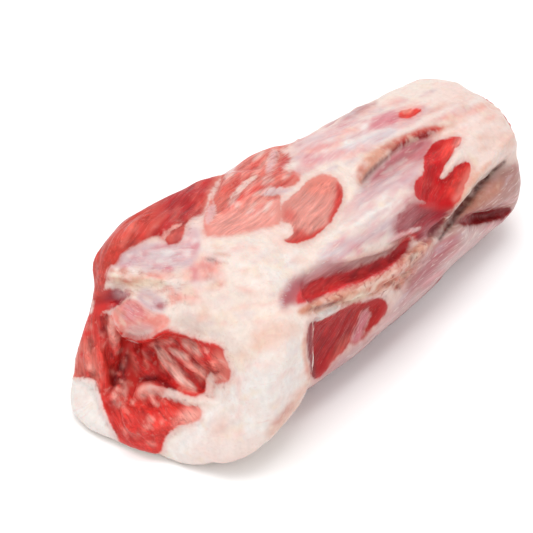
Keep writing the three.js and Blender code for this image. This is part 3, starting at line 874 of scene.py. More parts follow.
valley = [
    stroke("cover", "mauve", 7, [(286, 302), (296, 292), (312, 282), (330, 273), (350, 268)], soft=4),
    window("valleyRed", [(296, 304), (297, 294), (304, 287), (314, 281), (330, 276), (346, 272), (362, 265),
                         (378, 260), (390, 253), (398, 245), (404, 236), (412, 236), (408, 246), (402, 256),
                         (394, 265), (384, 272), (368, 279), (350, 287), (335, 291), (322, 296), (310, 301)],
           soft=1.3),
    patch("lean", "deepWine", [(335, 280), (352, 270), (376, 262), (394, 252), (400, 250), (394, 262),
                               (374, 273), (352, 281)], soft=3),
    stroke("lean", "faceRed", 2.4, [(302, 296), (316, 289), (334, 283)], soft=2, amount=0.6),
    *scattered("lean", ("faceDeep", "facePit", "lightRed"), 30, [(298, 300), (330, 280), (396, 252),
                                                                 (400, 256),
               (350, 286), (312, 300)], (1, -0.45), 55, length=(5, 14), width=(0.7, 1.1), amount=0.4,
               fan=0.25),
    stroke("cover", "mauveDark", 4, [(284, 304), (289, 296), (296, 288), (306, 281)], soft=3, amount=1),
]

fasciaRope = [
    patch("cover", "tan", [(296, 310), (312, 302), (330, 294), (350, 288), (366, 281), (382, 275), (394, 268),
                           (402, 258), (412, 248), (424, 240), (434, 238), (432, 246), (424, 256), (414, 266),
                           (404, 276), (394, 284), (380, 292), (366, 296), (348, 300), (330, 306), (312, 312),
                           (300, 316)], soft=1.4),
    stroke("cover", "peach", 1.7, [(316, 301), (336, 294), (354, 288), (370, 283), (386, 277), (396, 270),
                                   (404, 262), (412, 254)], soft=1.0),
    stroke("cover", "peach", 1.2, [(308, 315), (330, 309), (350, 302), (372, 295)], soft=1, amount=0.9),
    stroke("cover", "cream", 0.9, [(350, 291), (372, 284), (392, 275), (408, 262)], soft=0.8, amount=0.5),
    # painted shade: the brown and then rust lines sunk along the groove between the rope's strands
    stroke("cover", "brown", 1.0, [(308, 310), (324, 306), (338, 302), (352, 297), (364, 293)], soft=0.9,
           amount=0.85, rise=-0.4, slope=0.8),
    stroke("cover", "rust", 1.2, [(366, 290), (384, 284), (398, 277)], soft=1, amount=0.7, rise=-0.3),
    stroke("cover", "creamYellow", 1.7, [(345, 299), (358, 297), (370, 293)], soft=1, rise=0.3),
    patch("cover", "rust", [(392, 284), (398, 276), (408, 278), (408, 288), (398, 292)], soft=2, amount=0.7,
          ragged=1.2),
    stroke("cover", "peach", 1.1, [(398, 286), (406, 276), (414, 266)], soft=0.8, amount=0.9),
    stroke("cover", "peach", 1.0, [(406, 286), (414, 276), (424, 264)], soft=0.8, amount=0.8),
    patch("cover", "blackRed", [(420, 252), (424, 251), (424, 256), (420, 256)], soft=0.6, rise=-0.6),
    patch("cover", "taupe", [(404, 276), (414, 262), (424, 252), (440, 240), (436, 254), (420, 270),
                             (406, 284)],
          soft=3, amount=0.6),
    *scattered("cover", ("peach", "tan", "rust", "creamYellow"), 60, [(300, 314), (336, 290), (384, 274),
                                                                      (416, 240),
               (436, 236), (426, 260), (400, 288), (350, 302)], (1, -0.62), 51, length=(6, 18),
               width=(0.7, 1.1), soft=0.8, amount=0.6, fan=0.2),
    *scattered("cover", ("brown", "rust"), 20, [(384, 288), (400, 264), (420, 242), (436, 238), (424, 262),
               (404, 290)], (1, -0.9), 52, length=(3, 7), width=(0.7, 1.0), soft=0.7, amount=0.6, fan=0.6),
]

flankWindow = [
    window("flankRed", [(308, 324), (318, 320), (328, 317), (338, 311), (346, 306), (356, 303), (368, 301),
                         (376, 297), (387, 300), (389, 308), (385, 316), (378, 324), (370, 330), (366, 338),
                         (354, 342), (344, 350), (332, 362), (322, 377), (311, 379), (309, 362), (307, 342)],
           soft=0.9),
    patch("lean", "deepWine", [(318, 326), (336, 316), (350, 310), (352, 322), (340, 334), (322, 340)],
          soft=3, amount=0.6),
    patch("lean", "pinkRidge", [(326, 362), (334, 346), (346, 336), (354, 336), (344, 350), (330, 366)],
          soft=3, amount=0.6),
    patch("laid", "magentaFilm", [(358, 316), (364, 309), (371, 310), (369, 318), (366, 330), (360, 342),
                                  (350, 342), (356, 330)], soft=1.8, ragged=0.9),
    stroke("laid", "white", 2.0, [(316, 320), (326, 313), (340, 306)], soft=0.7, rise=0.8),
    # painted shade: a near-black pit at the window's upper left corner
    patch("lean", "facePit", [(309, 326), (311, 321), (316, 322), (316, 326)], soft=0.8, rise=-1.0),
    patch("lean", "deepWine", [(308, 330), (322, 324), (334, 330), (336, 352), (324, 372), (311, 380)],
          soft=3, amount=0.8),
    # painted shadow: a near-black line down the window's left edge, under the fat's cut edge
    stroke("lean", "facePit", 1.8, [(310, 326), (309, 345), (311, 362), (314, 378)], soft=1),
    *scattered("lean", ("facePit", "deepWine", "lightRed", "facePit"), 44,
               [(312, 330), (350, 306), (384, 302), (370, 330), (340, 350), (318, 374)], (1, -0.9), 54,
               length=(4, 14), width=(0.7, 1.1), amount=0.3, fan=0.3),
]

# On this flank the membrane's mauve, taupe and dark mauve are partly painted shade, darker where it faces
# down, away from the light.
lowerFlank = [
    patch("cover", "mauve", [(380, 330), (404, 290), (420, 262), (440, 240), (470, 224), (540, 200),
                             (540, 300), (430, 330), (340, 400), (300, 420), (310, 385), (340, 356),
                             (368, 338)], soft=4),
    patch("cover", "taupe", [(446, 236), (452, 222), (462, 208), (476, 190), (490, 176), (540, 150),
                             (540, 206), (484, 212), (470, 218), (458, 228)], soft=3),
    stroke("cover", "tan", 5, [(462, 214), (474, 200), (486, 192), (500, 184)], soft=3, amount=0.7),
    stroke("cover", "mauveDark", 4, [(430, 262), (444, 248), (460, 236)], soft=3.5, amount=0.8),
    stroke("cover", "mauveDark", 3.5, [(412, 288), (424, 276), (436, 266)], soft=3, amount=0.7),
    stroke("cover", "taupeLight", 3, [(350, 356), (392, 322), (420, 296), (450, 262), (480, 232), (500, 214)],
           soft=3, amount=0.8),
    stroke("cover", "taupeLight", 4, [(462, 238), (480, 226), (500, 216)], soft=3, amount=0.8),
    # painted shadow: a near-black line in the crevice under the overhanging tendon mass
    stroke("cover", "blackRed", 1.6, [(440, 239), (450, 222), (461, 207), (473, 192), (486, 177), (504, 162)],
           soft=1.0),
    stroke("cover", "peach", 2.0, [(440, 224), (452, 207), (464, 192), (476, 177), (490, 162)], soft=1.6),
    # painted shade: a near-black slit between the two lower masses
    window("facePit", [(456, 224), (464, 217), (474, 212), (486, 209), (512, 206), (510, 217), (486, 223),
                       (468, 226)], soft=1.0, rise=-0.3),
    *scattered("cover", ("mauveDark", "taupe", "magentaFilm", "taupe"), 60,
               [(340, 380), (396, 310), (440, 252), (500, 218), (470, 262), (400, 350)], (1, -0.8), 53,
               length=(10, 34), width=(0.9, 1.8), soft=1.6, amount=0.5, fan=0.08),
]

farRidge = [
    window("ridgeRed", [(84, 300), (88, 262), (96, 240), (120, 210), (160, 184), (205, 164), (232, 160),
                        (224, 174), (216, 183), (210, 191), (207, 203), (204, 214), (192, 217), (186, 224),
                        (184, 234), (180, 243), (168, 245), (162, 236), (152, 236), (142, 242), (130, 248),
                        (120, 253), (118, 263), (108, 265), (105, 280), (102, 300)], soft=0.9, rise=0.3,
           slope=1.6),
    patch("lean", "ridgeOrange", [(84, 300), (90, 250), (130, 205), (160, 190), (164, 222), (150, 236),
                                  (118, 258), (104, 300)], soft=5),
    patch("lean", "pinkRidge", [(164, 240), (168, 228), (176, 220), (184, 222), (182, 238), (176, 243)],
          soft=2.5, amount=0.7, ragged=1.2),
    stroke("lean", "faceDeep", 2.4, [(196, 208), (204, 194), (214, 182)], soft=2, amount=0.6),
    stroke("lean", "pinkRidge", 1.2, [(122, 246), (129, 232), (138, 220)], soft=1.2, ragged=0.9, amount=0.6),
    stroke("lean", "pinkRidge", 1.0, [(148, 234), (158, 222), (168, 212)], soft=1.2, amount=0.5),
    stroke("laid", "pinkFade", 1.0, [(162, 238), (170, 228), (180, 224)], soft=1, ragged=0.9),
    *scattered("lean", ("pinkRidge", "faceDeep", "ridgeOrange", "facePit"), 60,
               [(100, 270), (106, 240), (140, 206), (200, 170), (206, 204), (184, 238), (120, 256)],
               (1, -1), 38, length=(6, 22), width=(0.8, 1.4), soft=1.4, amount=0.35, fan=0.3),
]

pinkRidges = [
    window("pinkRidge", [(204, 236), (204, 222), (207, 210), (211, 194), (218, 182), (230, 160), (262, 136),
                         (290, 128), (300, 138), (292, 143), (284, 146), (278, 152), (286, 154), (290, 158),
                         (287, 164), (280, 170), (296, 173), (301, 179), (294, 186), (280, 190), (280, 198),
                         (282, 210), (282, 222), (272, 226), (250, 230), (232, 235), (216, 237)], soft=1.6),
    patch("lean", "pinkFade", [(204, 240), (207, 218), (228, 213), (246, 200), (262, 195), (284, 196),
                               (284, 224), (262, 230), (232, 238)], soft=4),
    patch("lean", "faceRed", [(222, 208), (232, 200), (246, 190), (262, 184), (286, 184), (286, 188),
                              (262, 191), (246, 198), (234, 206), (224, 212)], soft=2, amount=0.7),
    patch("lean", "faceRed", [(218, 190), (236, 172), (256, 158), (262, 164), (246, 182), (226, 196)], soft=3,
          amount=0.45),
    stroke("laid", "creamPink", 1.6, [(231, 197), (240, 189), (248, 182), (257, 176)], soft=0.7),
    stroke("laid", "bluish", 2.0, [(262, 195), (270, 192), (280, 191), (292, 190)], soft=0.9),
    patch("laid", "pinkFilm", [(264, 172), (268, 160), (272, 150), (279, 149), (278, 158), (274, 168),
                               (270, 174)],
          soft=1.4),
    stroke("laid", "pinkFilm", 2.6, [(208, 222), (211, 212), (213, 202)], soft=1.2, ragged=0.8),
    stroke("laid", "creamPink", 1.2, [(212, 200), (214, 190), (220, 180)], soft=1, amount=0.9),
    stroke("lean", "salmonRim", 2.4, [(278, 168), (284, 164), (288, 158)], soft=1.4),
    *scattered("lean", ("pinkFade", "faceRed", "facePink", "cream"), 60, [(208, 232), (212, 196), (236, 164),
               (286, 136), (292, 180), (280, 222)], (1, -0.8), 39, length=(6, 20), width=(0.7, 1.2),
               amount=0.5, fan=0.2),
]

fatBlanket = [
    patch("cover", "cream", [(196, 238), (250, 230), (290, 246), (312, 262), (300, 286), (286, 300),
                             (300, 312), (308, 320), (306, 345), (311, 380), (300, 402), (280, 440),
                             (180, 470), (90, 470), (100, 400), (180, 330), (110, 300), (106, 268),
                             (140, 266), (190, 262)], soft=3),
    patch("cover", "white", [(214, 400), (240, 372), (270, 352), (296, 336), (306, 346), (308, 376),
                             (290, 404), (270, 440), (210, 470), (150, 470), (180, 432)], soft=5),
    patch("cover", "peach", [(250, 334), (270, 322), (292, 318), (300, 332), (272, 348), (254, 350)], soft=4,
          amount=0.55),
    patch("cover", "white", [(262, 250), (290, 250), (300, 266), (284, 286), (266, 280)], soft=5, amount=0.8),
    patch("cover", "creamYellow", [(238, 352), (250, 346), (252, 358), (242, 360)], soft=2.5, amount=0.7),
    patch("cover", "peach", [(208, 436), (216, 418), (226, 410), (232, 424), (226, 440)], soft=5, amount=0.5),
    patch("cover", "peach", [(262, 436), (282, 412), (300, 388), (309, 380), (306, 396), (290, 420),
                             (276, 442)],
          soft=3, amount=0.7),
    patch("cover", "creamPink", [(196, 440), (226, 430), (262, 436), (250, 470), (180, 470)], soft=6,
          amount=0.6),
    stroke("cover", "rust", 1.8, [(274, 424), (284, 413), (292, 404)], soft=2, amount=0.5),
    stroke("cover", "peach", 1.2, [(305, 334), (303, 348), (306, 364), (310, 380)], soft=1.0, amount=0.8),
    patch("cover", "pinkFade", [(182, 278), (186, 264), (200, 256), (214, 258), (220, 270), (226, 284),
                                (210, 290), (196, 286)], soft=4, amount=0.85),
    patch("cover", "pinkRidge", [(199, 262), (206, 259), (212, 262), (212, 270), (204, 272)], soft=2.4,
          amount=0.9),
    patch("cover", "rust", [(206, 274), (212, 274), (217, 281), (212, 285), (205, 281)], soft=2, amount=0.75),
    stroke("cover", "magentaFilm", 2, [(190, 264), (196, 274), (192, 282)], soft=2, amount=0.7),
    stroke("cover", "brown", 0.9, [(206, 259), (215, 260)], soft=0.8, amount=0.9, rise=-0.3),
    stroke("cover", "rust", 0.8, [(212, 263), (227, 263)], soft=0.9, amount=0.8),
    stroke("cover", "rust", 0.9, [(208, 281), (220, 285)], soft=1, amount=0.8),
    stroke("cover", "tan", 0.8, [(214, 254), (230, 255)], soft=1, amount=0.7),
    stroke("cover", "pinkFade", 1.2, [(232, 250), (246, 246), (258, 250)], soft=2, amount=0.4),
    stroke("cover", "pinkFade", 1.4, [(226, 312), (246, 306), (270, 304)], soft=2, amount=0.35),
    *scattered("cover", ("pinkFade", "peach", "creamYellow", "lilac", "white"), 110, [(186, 240), (290, 244),
               (304, 262), (286, 300), (300, 330), (250, 356), (228, 344), (180, 328), (170, 290)],
               (1, -0.12), 34, length=(6, 24), width=(0.8, 1.7), soft=1.8, amount=0.32, fan=0.3),
    *scattered("cover", ("pinkFade", "peach", "creamYellow", "lilac"), 50,
               [(232, 352), (300, 330), (308, 370), (280, 420), (220, 440), (206, 420)], (1, -0.7), 35,
               length=(6, 22), width=(0.9, 1.8), soft=2, amount=0.25, fan=0.4),
]

leftMembrane = [
    patch("cover", "lilac", [(116, 264), (122, 252), (136, 247), (152, 240), (164, 246), (182, 246),
                             (188, 228), (200, 226), (200, 246), (196, 262), (180, 268), (160, 272),
                             (140, 268), (124, 268)],
          soft=2.5),
    patch("cover", "pinkFilm", [(128, 262), (138, 250), (152, 248), (150, 262), (138, 268)], soft=3,
          amount=0.6),
    patch("cover", "pinkFilm", [(180, 258), (184, 232), (194, 228), (198, 244), (194, 260)], soft=3,
          amount=0.6),
    stroke("cover", "bluish", 2.2, [(150, 252), (164, 254), (176, 260)], soft=2, amount=0.8),
    patch("cover", "creamYellow", [(108, 282), (112, 268), (122, 268), (126, 278), (118, 286)], soft=1.6),
    patch("cover", "creamYellow", [(120, 284), (130, 276), (150, 276), (168, 279), (164, 288), (140, 289)],
          soft=2),
    patch("cover", "cream", [(120, 268), (140, 266), (144, 274), (130, 278), (120, 274)], soft=1.6),
    stroke("cover", "tan", 1.6, [(122, 284), (132, 279), (140, 280)], soft=1.6, amount=0.7),
    stroke("cover", "rust", 1.2, [(124, 280), (132, 278)], soft=1.2, amount=0.5),
    patch("cover", "pinkFade", [(142, 276), (152, 272), (176, 273), (168, 279), (150, 279)], soft=2,
          amount=0.7),
    patch("cover", "pinkFade", [(174, 302), (176, 294), (192, 292), (202, 297), (192, 302)], soft=2.4,
          amount=0.7),
    patch("cover", "lilac", [(136, 300), (142, 288), (152, 290), (166, 302), (166, 312), (152, 314),
                             (142, 308)],
          soft=2.4),
    stroke("cover", "mauveDark", 1.8, [(157, 306), (164, 306)], soft=1.4, amount=0.9),
    window("wine", [(92, 314), (96, 292), (108, 289), (122, 290), (131, 293), (126, 299), (120, 304),
                    (110, 310), (98, 313)], soft=1.4),
    patch("lean", "mauve", [(116, 298), (112, 290), (124, 289), (132, 293), (124, 299)], soft=2),
    patch("lean", "faceDeep", [(96, 310), (98, 302), (110, 300), (116, 304), (108, 310)], soft=2),
    *scattered("cover", ("pinkFilm", "magentaFilm", "lilacShade", "white"), 60,
               [(110, 270), (124, 252), (164, 244), (196, 232), (196, 258), (170, 272), (130, 272)],
               (1, -0.15), 36, length=(5, 16), width=(0.8, 1.3), soft=1.2, amount=0.55, fan=0.35),
    *scattered("cover", ("tan", "rust", "white", "pinkFade", "peach"), 46,
               [(106, 286), (110, 266), (150, 272), (184, 282), (176, 306), (140, 300)], (1, 0.12), 37,
               length=(5, 16), width=(0.7, 1.1), soft=1, amount=0.5, fan=0.25),
]

cutFace = [
    window("faceRed", [(60, 380), (62, 356), (76, 330), (86, 312), (104, 312), (112, 316), (118, 328),
                       (126, 337), (138, 341), (150, 338), (158, 333), (167, 328), (176, 333), (190, 335),
                       (200, 341), (214, 343), (223, 348), (224, 358), (231, 368), (231, 380), (222, 384),
                       (211, 382), (208, 390), (198, 398), (182, 397), (168, 392), (176, 400), (190, 403),
                       (201, 409), (202, 417), (190, 423), (178, 428), (165, 434), (160, 460), (118, 460),
                       (112, 428), (105, 412), (101, 402), (98, 392), (97, 379), (86, 376), (72, 377)],
           soft=1.0, ragged=0.8),
    patch("lean", "pinkRidge", [(60, 378), (66, 350), (84, 336), (100, 346), (106, 372), (98, 380)], soft=4),
    patch("lean", "faceDeep", [(124, 342), (150, 340), (160, 334), (180, 336), (176, 348), (160, 372),
                               (140, 372), (128, 356)], soft=4),
    patch("lean", "faceDeep", [(160, 360), (172, 372), (190, 386), (206, 388), (196, 396), (176, 392),
                               (160, 380)],
          soft=2.5),
    patch("lean", "pinkRidge", [(186, 352), (206, 356), (214, 372), (206, 382), (194, 370)], soft=3,
          amount=0.6),
    patch("lean", "pinkRidge", [(214, 350), (224, 352), (232, 368), (231, 382), (218, 384), (210, 370)],
          soft=3),
    patch("lean", "lightRed", [(120, 434), (122, 404), (136, 392), (160, 400), (190, 404), (200, 414),
                               (176, 428), (150, 438)], soft=4),
    patch("lean", "facePink", [(172, 430), (180, 410), (198, 406), (206, 414), (192, 426)], soft=4,
          amount=0.9),
    patch("lean", "faceRed", [(126, 440), (128, 410), (138, 400), (150, 412), (152, 440)], soft=3),
    patch("lean", "faceDeep", [(148, 414), (148, 402), (160, 398), (168, 406), (156, 416)], soft=2.5),
    # flesh strands that run down to the right across the hollow
    stroke("lean", "strandPink", 2.8, [(157, 348), (165, 359), (174, 370), (185, 381), (195, 389)], soft=1.0),
    stroke("lean", "strandPink", 1.8, [(170, 349), (180, 354), (188, 360)], soft=1.2),
    stroke("lean", "strandPink", 2.2, [(184, 342), (192, 346), (199, 353)], soft=1.4),
    stroke("lean", "facePink", 2.4, [(186, 360), (196, 369), (206, 378)], soft=1.4),
    stroke("lean", "facePink", 1.4, [(150, 346), (158, 344), (170, 342)], soft=1.4, amount=0.7),
    stroke("lean", "pinkRidge", 1.6, [(128, 350), (134, 362), (136, 374)], soft=1.4, amount=0.7),
    # painted shade: a near-black line in the gap between the strands
    stroke("lean", "facePit", 1.3, [(171, 354), (178, 366), (188, 377), (198, 384), (206, 388)], soft=1.2,
           amount=0.8),
    stroke("lean", "faceDeep", 1.8, [(200, 345), (204, 356), (210, 364)], soft=1.4),
    # pits, painted near-black as shade
    stroke("lean", "facePit", 3.2, [(127, 356), (122, 368), (115, 380), (108, 392)], soft=1.6, amount=0.9),
    stroke("lean", "facePit", 2.0, [(140, 380), (152, 378), (164, 383), (176, 391)], soft=1.2),
    stroke("lean", "facePit", 1.8, [(106, 316), (105, 326), (104, 336)], soft=1.2, amount=0.8),
    stroke("lean", "facePit", 1.6, [(90, 342), (97, 344)], soft=1.2, amount=0.9),
    # torn pale lumps
    stroke("lean", "facePink", 2.4, [(110, 318), (113, 332), (117, 346)], soft=1.6, ragged=0.9),
    patch("lean", "facePink", [(112, 398), (114, 384), (124, 382), (130, 390), (122, 404), (116, 408)],
          soft=2, ragged=1.0),
    patch("lean", "facePink", [(136, 394), (140, 384), (152, 383), (160, 390), (150, 398)], soft=1.8,
          ragged=0.9),
    *scattered("lean", ("facePink", "pinkRidge", "ridgeOrange"), 46, [(74, 376), (84, 330), (100, 314),
                                                                      (116, 330),
               (126, 360), (132, 396), (112, 404)], (0.1, 1), 41, length=(4, 11), fan=0.6, amount=0.7),
    *scattered("lean", ("facePit", "faceDeep"), 26, [(74, 376), (84, 330), (100, 314), (116, 330), (126, 360),
               (132, 396), (112, 404)], (0.1, 1), 42, length=(4, 9), width=(0.7, 1.1), fan=0.5, amount=0.7),
    *scattered("lean", ("facePink", "pinkRidge", "salmonWarm"), 44, [(134, 346), (164, 336), (206, 348),
                                                                     (230, 368),
               (222, 382), (200, 392), (160, 386)], (1, 1), 43, length=(5, 14), fan=0.3, amount=0.65),
    *scattered("lean", ("facePit", "faceDeep"), 24, [(134, 346), (164, 336), (206, 348), (216, 374),
                                                     (200, 392),
               (160, 386)], (1, 1), 44, length=(5, 13), width=(0.7, 1.1), fan=0.3, amount=0.7),
    *scattered("lean", ("lightRed", "pinkRidge", "facePink"), 40, [(114, 432), (112, 402), (140, 392),
                                                                   (190, 404),
               (200, 414), (160, 444), (130, 448)], (0.6, 1), 45, length=(4, 12), fan=0.6, amount=0.6),
    *scattered("lean", ("faceDeep", "facePit"), 16, [(114, 432), (112, 402), (140, 392), (190, 404),
                                                     (180, 420),
               (130, 448)], (0.6, 1), 46, length=(4, 9), width=(0.7, 1.1), fan=0.6, amount=0.5),
    patch("lean", "pinkRidge", [(88, 360), (86, 350), (94, 348), (94, 362)], soft=1.6),
    stroke("lean", "lightRed", 3, [(98, 346), (103, 362), (106, 382), (104, 398)], soft=2.4, amount=0.7),
    # the strip of fat across the lower part of the face
    patch("laid", "cream", [(144, 385), (156, 385), (170, 389), (188, 396), (204, 398), (216, 402),
                            (212, 408), (196, 407), (180, 403), (164, 398), (150, 392)], soft=1.0),
    patch("cover", "pinkRidge", [(142, 388), (144, 383), (158, 384), (168, 390), (162, 397), (150, 393)],
          soft=2, amount=0.7),
    patch("laid", "creamPink", [(206, 396), (206, 376), (212, 373), (216, 378), (216, 390), (212, 398)],
          soft=1.0),
]

hangingMembrane = [
    patch("laid", "pinkFade", [(110, 314), (118, 304), (128, 298), (138, 302), (150, 312), (166, 314),
                               (172, 322), (166, 328), (158, 333), (150, 338), (138, 341), (126, 337),
                               (118, 328)], soft=0.8),
    patch("cover", "pinkRidge", [(124, 312), (136, 304), (148, 314), (160, 322), (150, 332), (134, 332),
                                 (124, 322)],
          soft=4, amount=0.6),
    patch("cover", "magentaFilm", [(118, 312), (128, 300), (138, 304), (148, 314), (136, 320), (122, 320)],
          soft=2.5, amount=0.7),
    patch("cover", "pinkFilm", [(126, 334), (128, 324), (144, 324), (156, 328), (148, 338), (136, 340)],
          soft=2.5, amount=0.8),
    stroke("cover", "tan", 1.5, [(116, 310), (122, 314), (126, 312)], soft=1.6, amount=0.6),
    stroke("cover", "creamPink", 1.2, [(126, 330), (138, 334), (152, 331)], soft=1.2, amount=0.8),
]

whiteBlock = [
    patch("laid", "white", [(60, 378), (74, 377), (96, 380), (99, 392), (102, 403), (106, 413), (112, 428),
                            (120, 440), (124, 470), (50, 470)], soft=0.7),
]

stringiness = [
    patch("stringy", None, [(298, 314), (330, 290), (366, 278), (398, 262), (418, 240), (436, 232),
                            (432, 252), (414, 274), (398, 292), (366, 300), (330, 312)], soft=3),
    patch("stringy", None, [(70, 380), (78, 300), (112, 306), (124, 336), (180, 330), (230, 344), (234, 382),
                            (206, 412), (170, 440), (110, 440), (96, 380)], soft=4, amount=0.7),
    patch("stringy", None, [(150, 244), (160, 226), (190, 216), (210, 186), (240, 168), (276, 140),
                            (294, 150), (286, 190), (232, 212), (204, 226), (190, 244)], soft=5, amount=0.5),
    patch("stringy", None, [(108, 310), (104, 268), (124, 262), (180, 274), (200, 300), (160, 318)], soft=5,
          amount=0.4),
]

shownFlank = (upperMuscle, topCrease, middleBelly, fatBlanket, leftMembrane, wineHollow, valley, fasciaRope,
              lowerFlank, farRidge, pinkRidges, salmonWindow, brightWindow, flankWindow, cutFace,
              hangingMembrane, whiteBlock, stringiness)

# The hidden sides, in millimetres along the skin and degrees round it.
farFlank = [
    patch("cover", "pinkFilm", [(0, -30), (176, -30), (176, -180), (0, -180)], soft=2),
    patch("cover", "creamPink", [(96, -24), (176, -20), (176, -70), (120, -64)], soft=8),
    stroke("cover", "bluish", 7, [(66, -62), (100, -64), (140, -58)], soft=4),
    stroke("cover", "lilac", 8, [(30, -104), (72, -100), (110, -96)], soft=5),
    stroke("cover", "mauve", 6, [(60, -128), (100, -124), (140, -120)], soft=5),
    window("ridgeOrange", [(-4, -24), (20, -30), (44, -36), (62, -44), (68, -58), (58, -74), (40, -86),
                           (22, -94), (4, -98), (-6, -90)], soft=1.2, ragged=1.4),
    patch("lean", "ridgeRed", [(16, -40), (40, -40), (60, -50), (52, -72), (28, -84), (14, -70)], soft=6),
    window("pinkRidge", [(66, -26), (92, -30), (106, -40), (120, -52), (112, -62), (92, -60), (74, -50)],
           soft=2.6, ragged=1.6),
    window("faceRed", [(50, -116), (70, -108), (96, -106), (122, -108), (134, -116), (118, -126), (88, -132),
                       (60, -130)], soft=2.6, ragged=1.6),
    patch("lean", "deepWine", [(60, -118), (86, -112), (116, -112), (120, -118), (90, -122), (64, -126)],
          soft=4),
    window("lightRed", [(126, -70), (138, -66), (150, -66), (154, -72), (142, -78), (128, -77)], soft=1.6,
           ragged=1.2),
    stroke("cover", "creamYellow", 6, [(94, -92), (128, -89), (176, -84)], soft=1.6, rise=0.3),
    stroke("cover", "white", 1.4, [(40, -96), (80, -90), (116, -82)], soft=1.2, rise=0.2),
    stroke("cover", "white", 1.2, [(70, -70), (104, -72), (138, -70)], soft=1.2, rise=0.2),
    stroke("cover", "mauveDark", 1.3, [(34, -98), (58, -94), (90, -96), (120, -100)], soft=1.2, amount=0.7),
    stroke("laid", "creamPink", 1.4, [(24, -44), (40, -52), (54, -62)], soft=0.9, rise=0.3),
    stroke("laid", "pinkFilm", 1.6, [(72, -112), (96, -116), (120, -118)], soft=1.2, rise=0.2),
    *scattered("lean", ("facePink", "faceDeep", "pinkRidge", "facePit", "ridgeOrange"), 130,
               [(-4, -24), (70, -30), (130, -40), (150, -70), (134, -134), (50, -134), (-4, -98)],
               (1, -0.1), 61, length=(5, 20), width=(0.8, 1.5), soft=1.3, amount=0.5, fan=0.12),
    *scattered("cover", ("magentaFilm", "lilacShade", "white", "pinkFade", "mauve", "cream"), 220,
               [(0, -24), (170, -24), (170, -170), (0, -170)], (1, -0.05), 62, length=(8, 34),
               width=(0.9, 2.2), soft=1.6, amount=0.5, fan=0.12),
    *scattered("laid", ("pinkFilm", "creamPink"), 16, [(0, -34), (60, -46), (130, -60), (130, -126),
                                                       (50, -126),
               (0, -90)], (1, -0.1), 63, length=(6, 20), width=(0.7, 1.1), soft=1, amount=0.8, fan=0.15),
]


underFlank = [
    patch("cover", "mauve", [(30, 98), (176, 98), (176, 150), (30, 150)], soft=8),
    patch("cover", "cream", [(-6, 90), (30, 92), (36, 120), (44, 150), (50, 190), (46, 230), (24, 252),
                             (-6, 252)],
          soft=4),
    patch("cover", "lilac", [(44, 150), (176, 150), (176, 210), (50, 210)], soft=8),
    window("faceRed", [(58, 158), (90, 152), (120, 154), (134, 164), (112, 176), (78, 178)], soft=1.6,
           ragged=0.6),
    window("wine", [(66, 124), (92, 118), (116, 118), (104, 128), (80, 132)], soft=2.2),
    stroke("cover", "bluish", 6, [(50, 140), (96, 136), (150, 132)], soft=3),
    stroke("cover", "white", 1.4, [(60, 146), (104, 142), (148, 140)], soft=1.2, rise=0.2),
    stroke("cover", "peach", 3, [(36, 104), (48, 130), (52, 160)], soft=2, amount=0.7),
]

narrowEnd = [
    patch("cover", "cream", [(-34, -4), (36, -4), (36, 50), (-34, 50)], soft=2),
    window("faceRed", [(-8, 32), (2, 29), (14, 30), (19, 35), (12, 40), (0, 41), (-8, 38)], soft=1,
           ragged=0.5),
    window("ridgeOrange", [(0, 5), (12, 4), (20, 8), (19, 14), (10, 16), (0, 13)], soft=1, ragged=0.5),
    window("deepWine", [(-8, 20), (-2, 17), (7, 19), (11, 24), (6, 28), (-3, 27)], soft=2.4, ragged=0.6),
    patch("laid", "creamYellow", [(-20, 14), (-13, 12), (-11, 20), (-13, 28), (-20, 28), (-22, 20)],
          soft=1.2),
    stroke("laid", "pinkFilm", 1.4, [(-9, 30), (6, 29), (18, 26)], soft=1),
    stroke("lean", "facePink", 1, [(-4, 36), (8, 34)], soft=1),
    stroke("lean", "facePink", 1, [(4, 10), (14, 9)], soft=1),
]

for chart, areas in ((skin, (farFlank, underFlank)), (tip, (narrowEnd,)), (seen, shownFlank)):
    for brush in itertools.chain(*areas):
        paint(chart, brush)
print("skin painted")


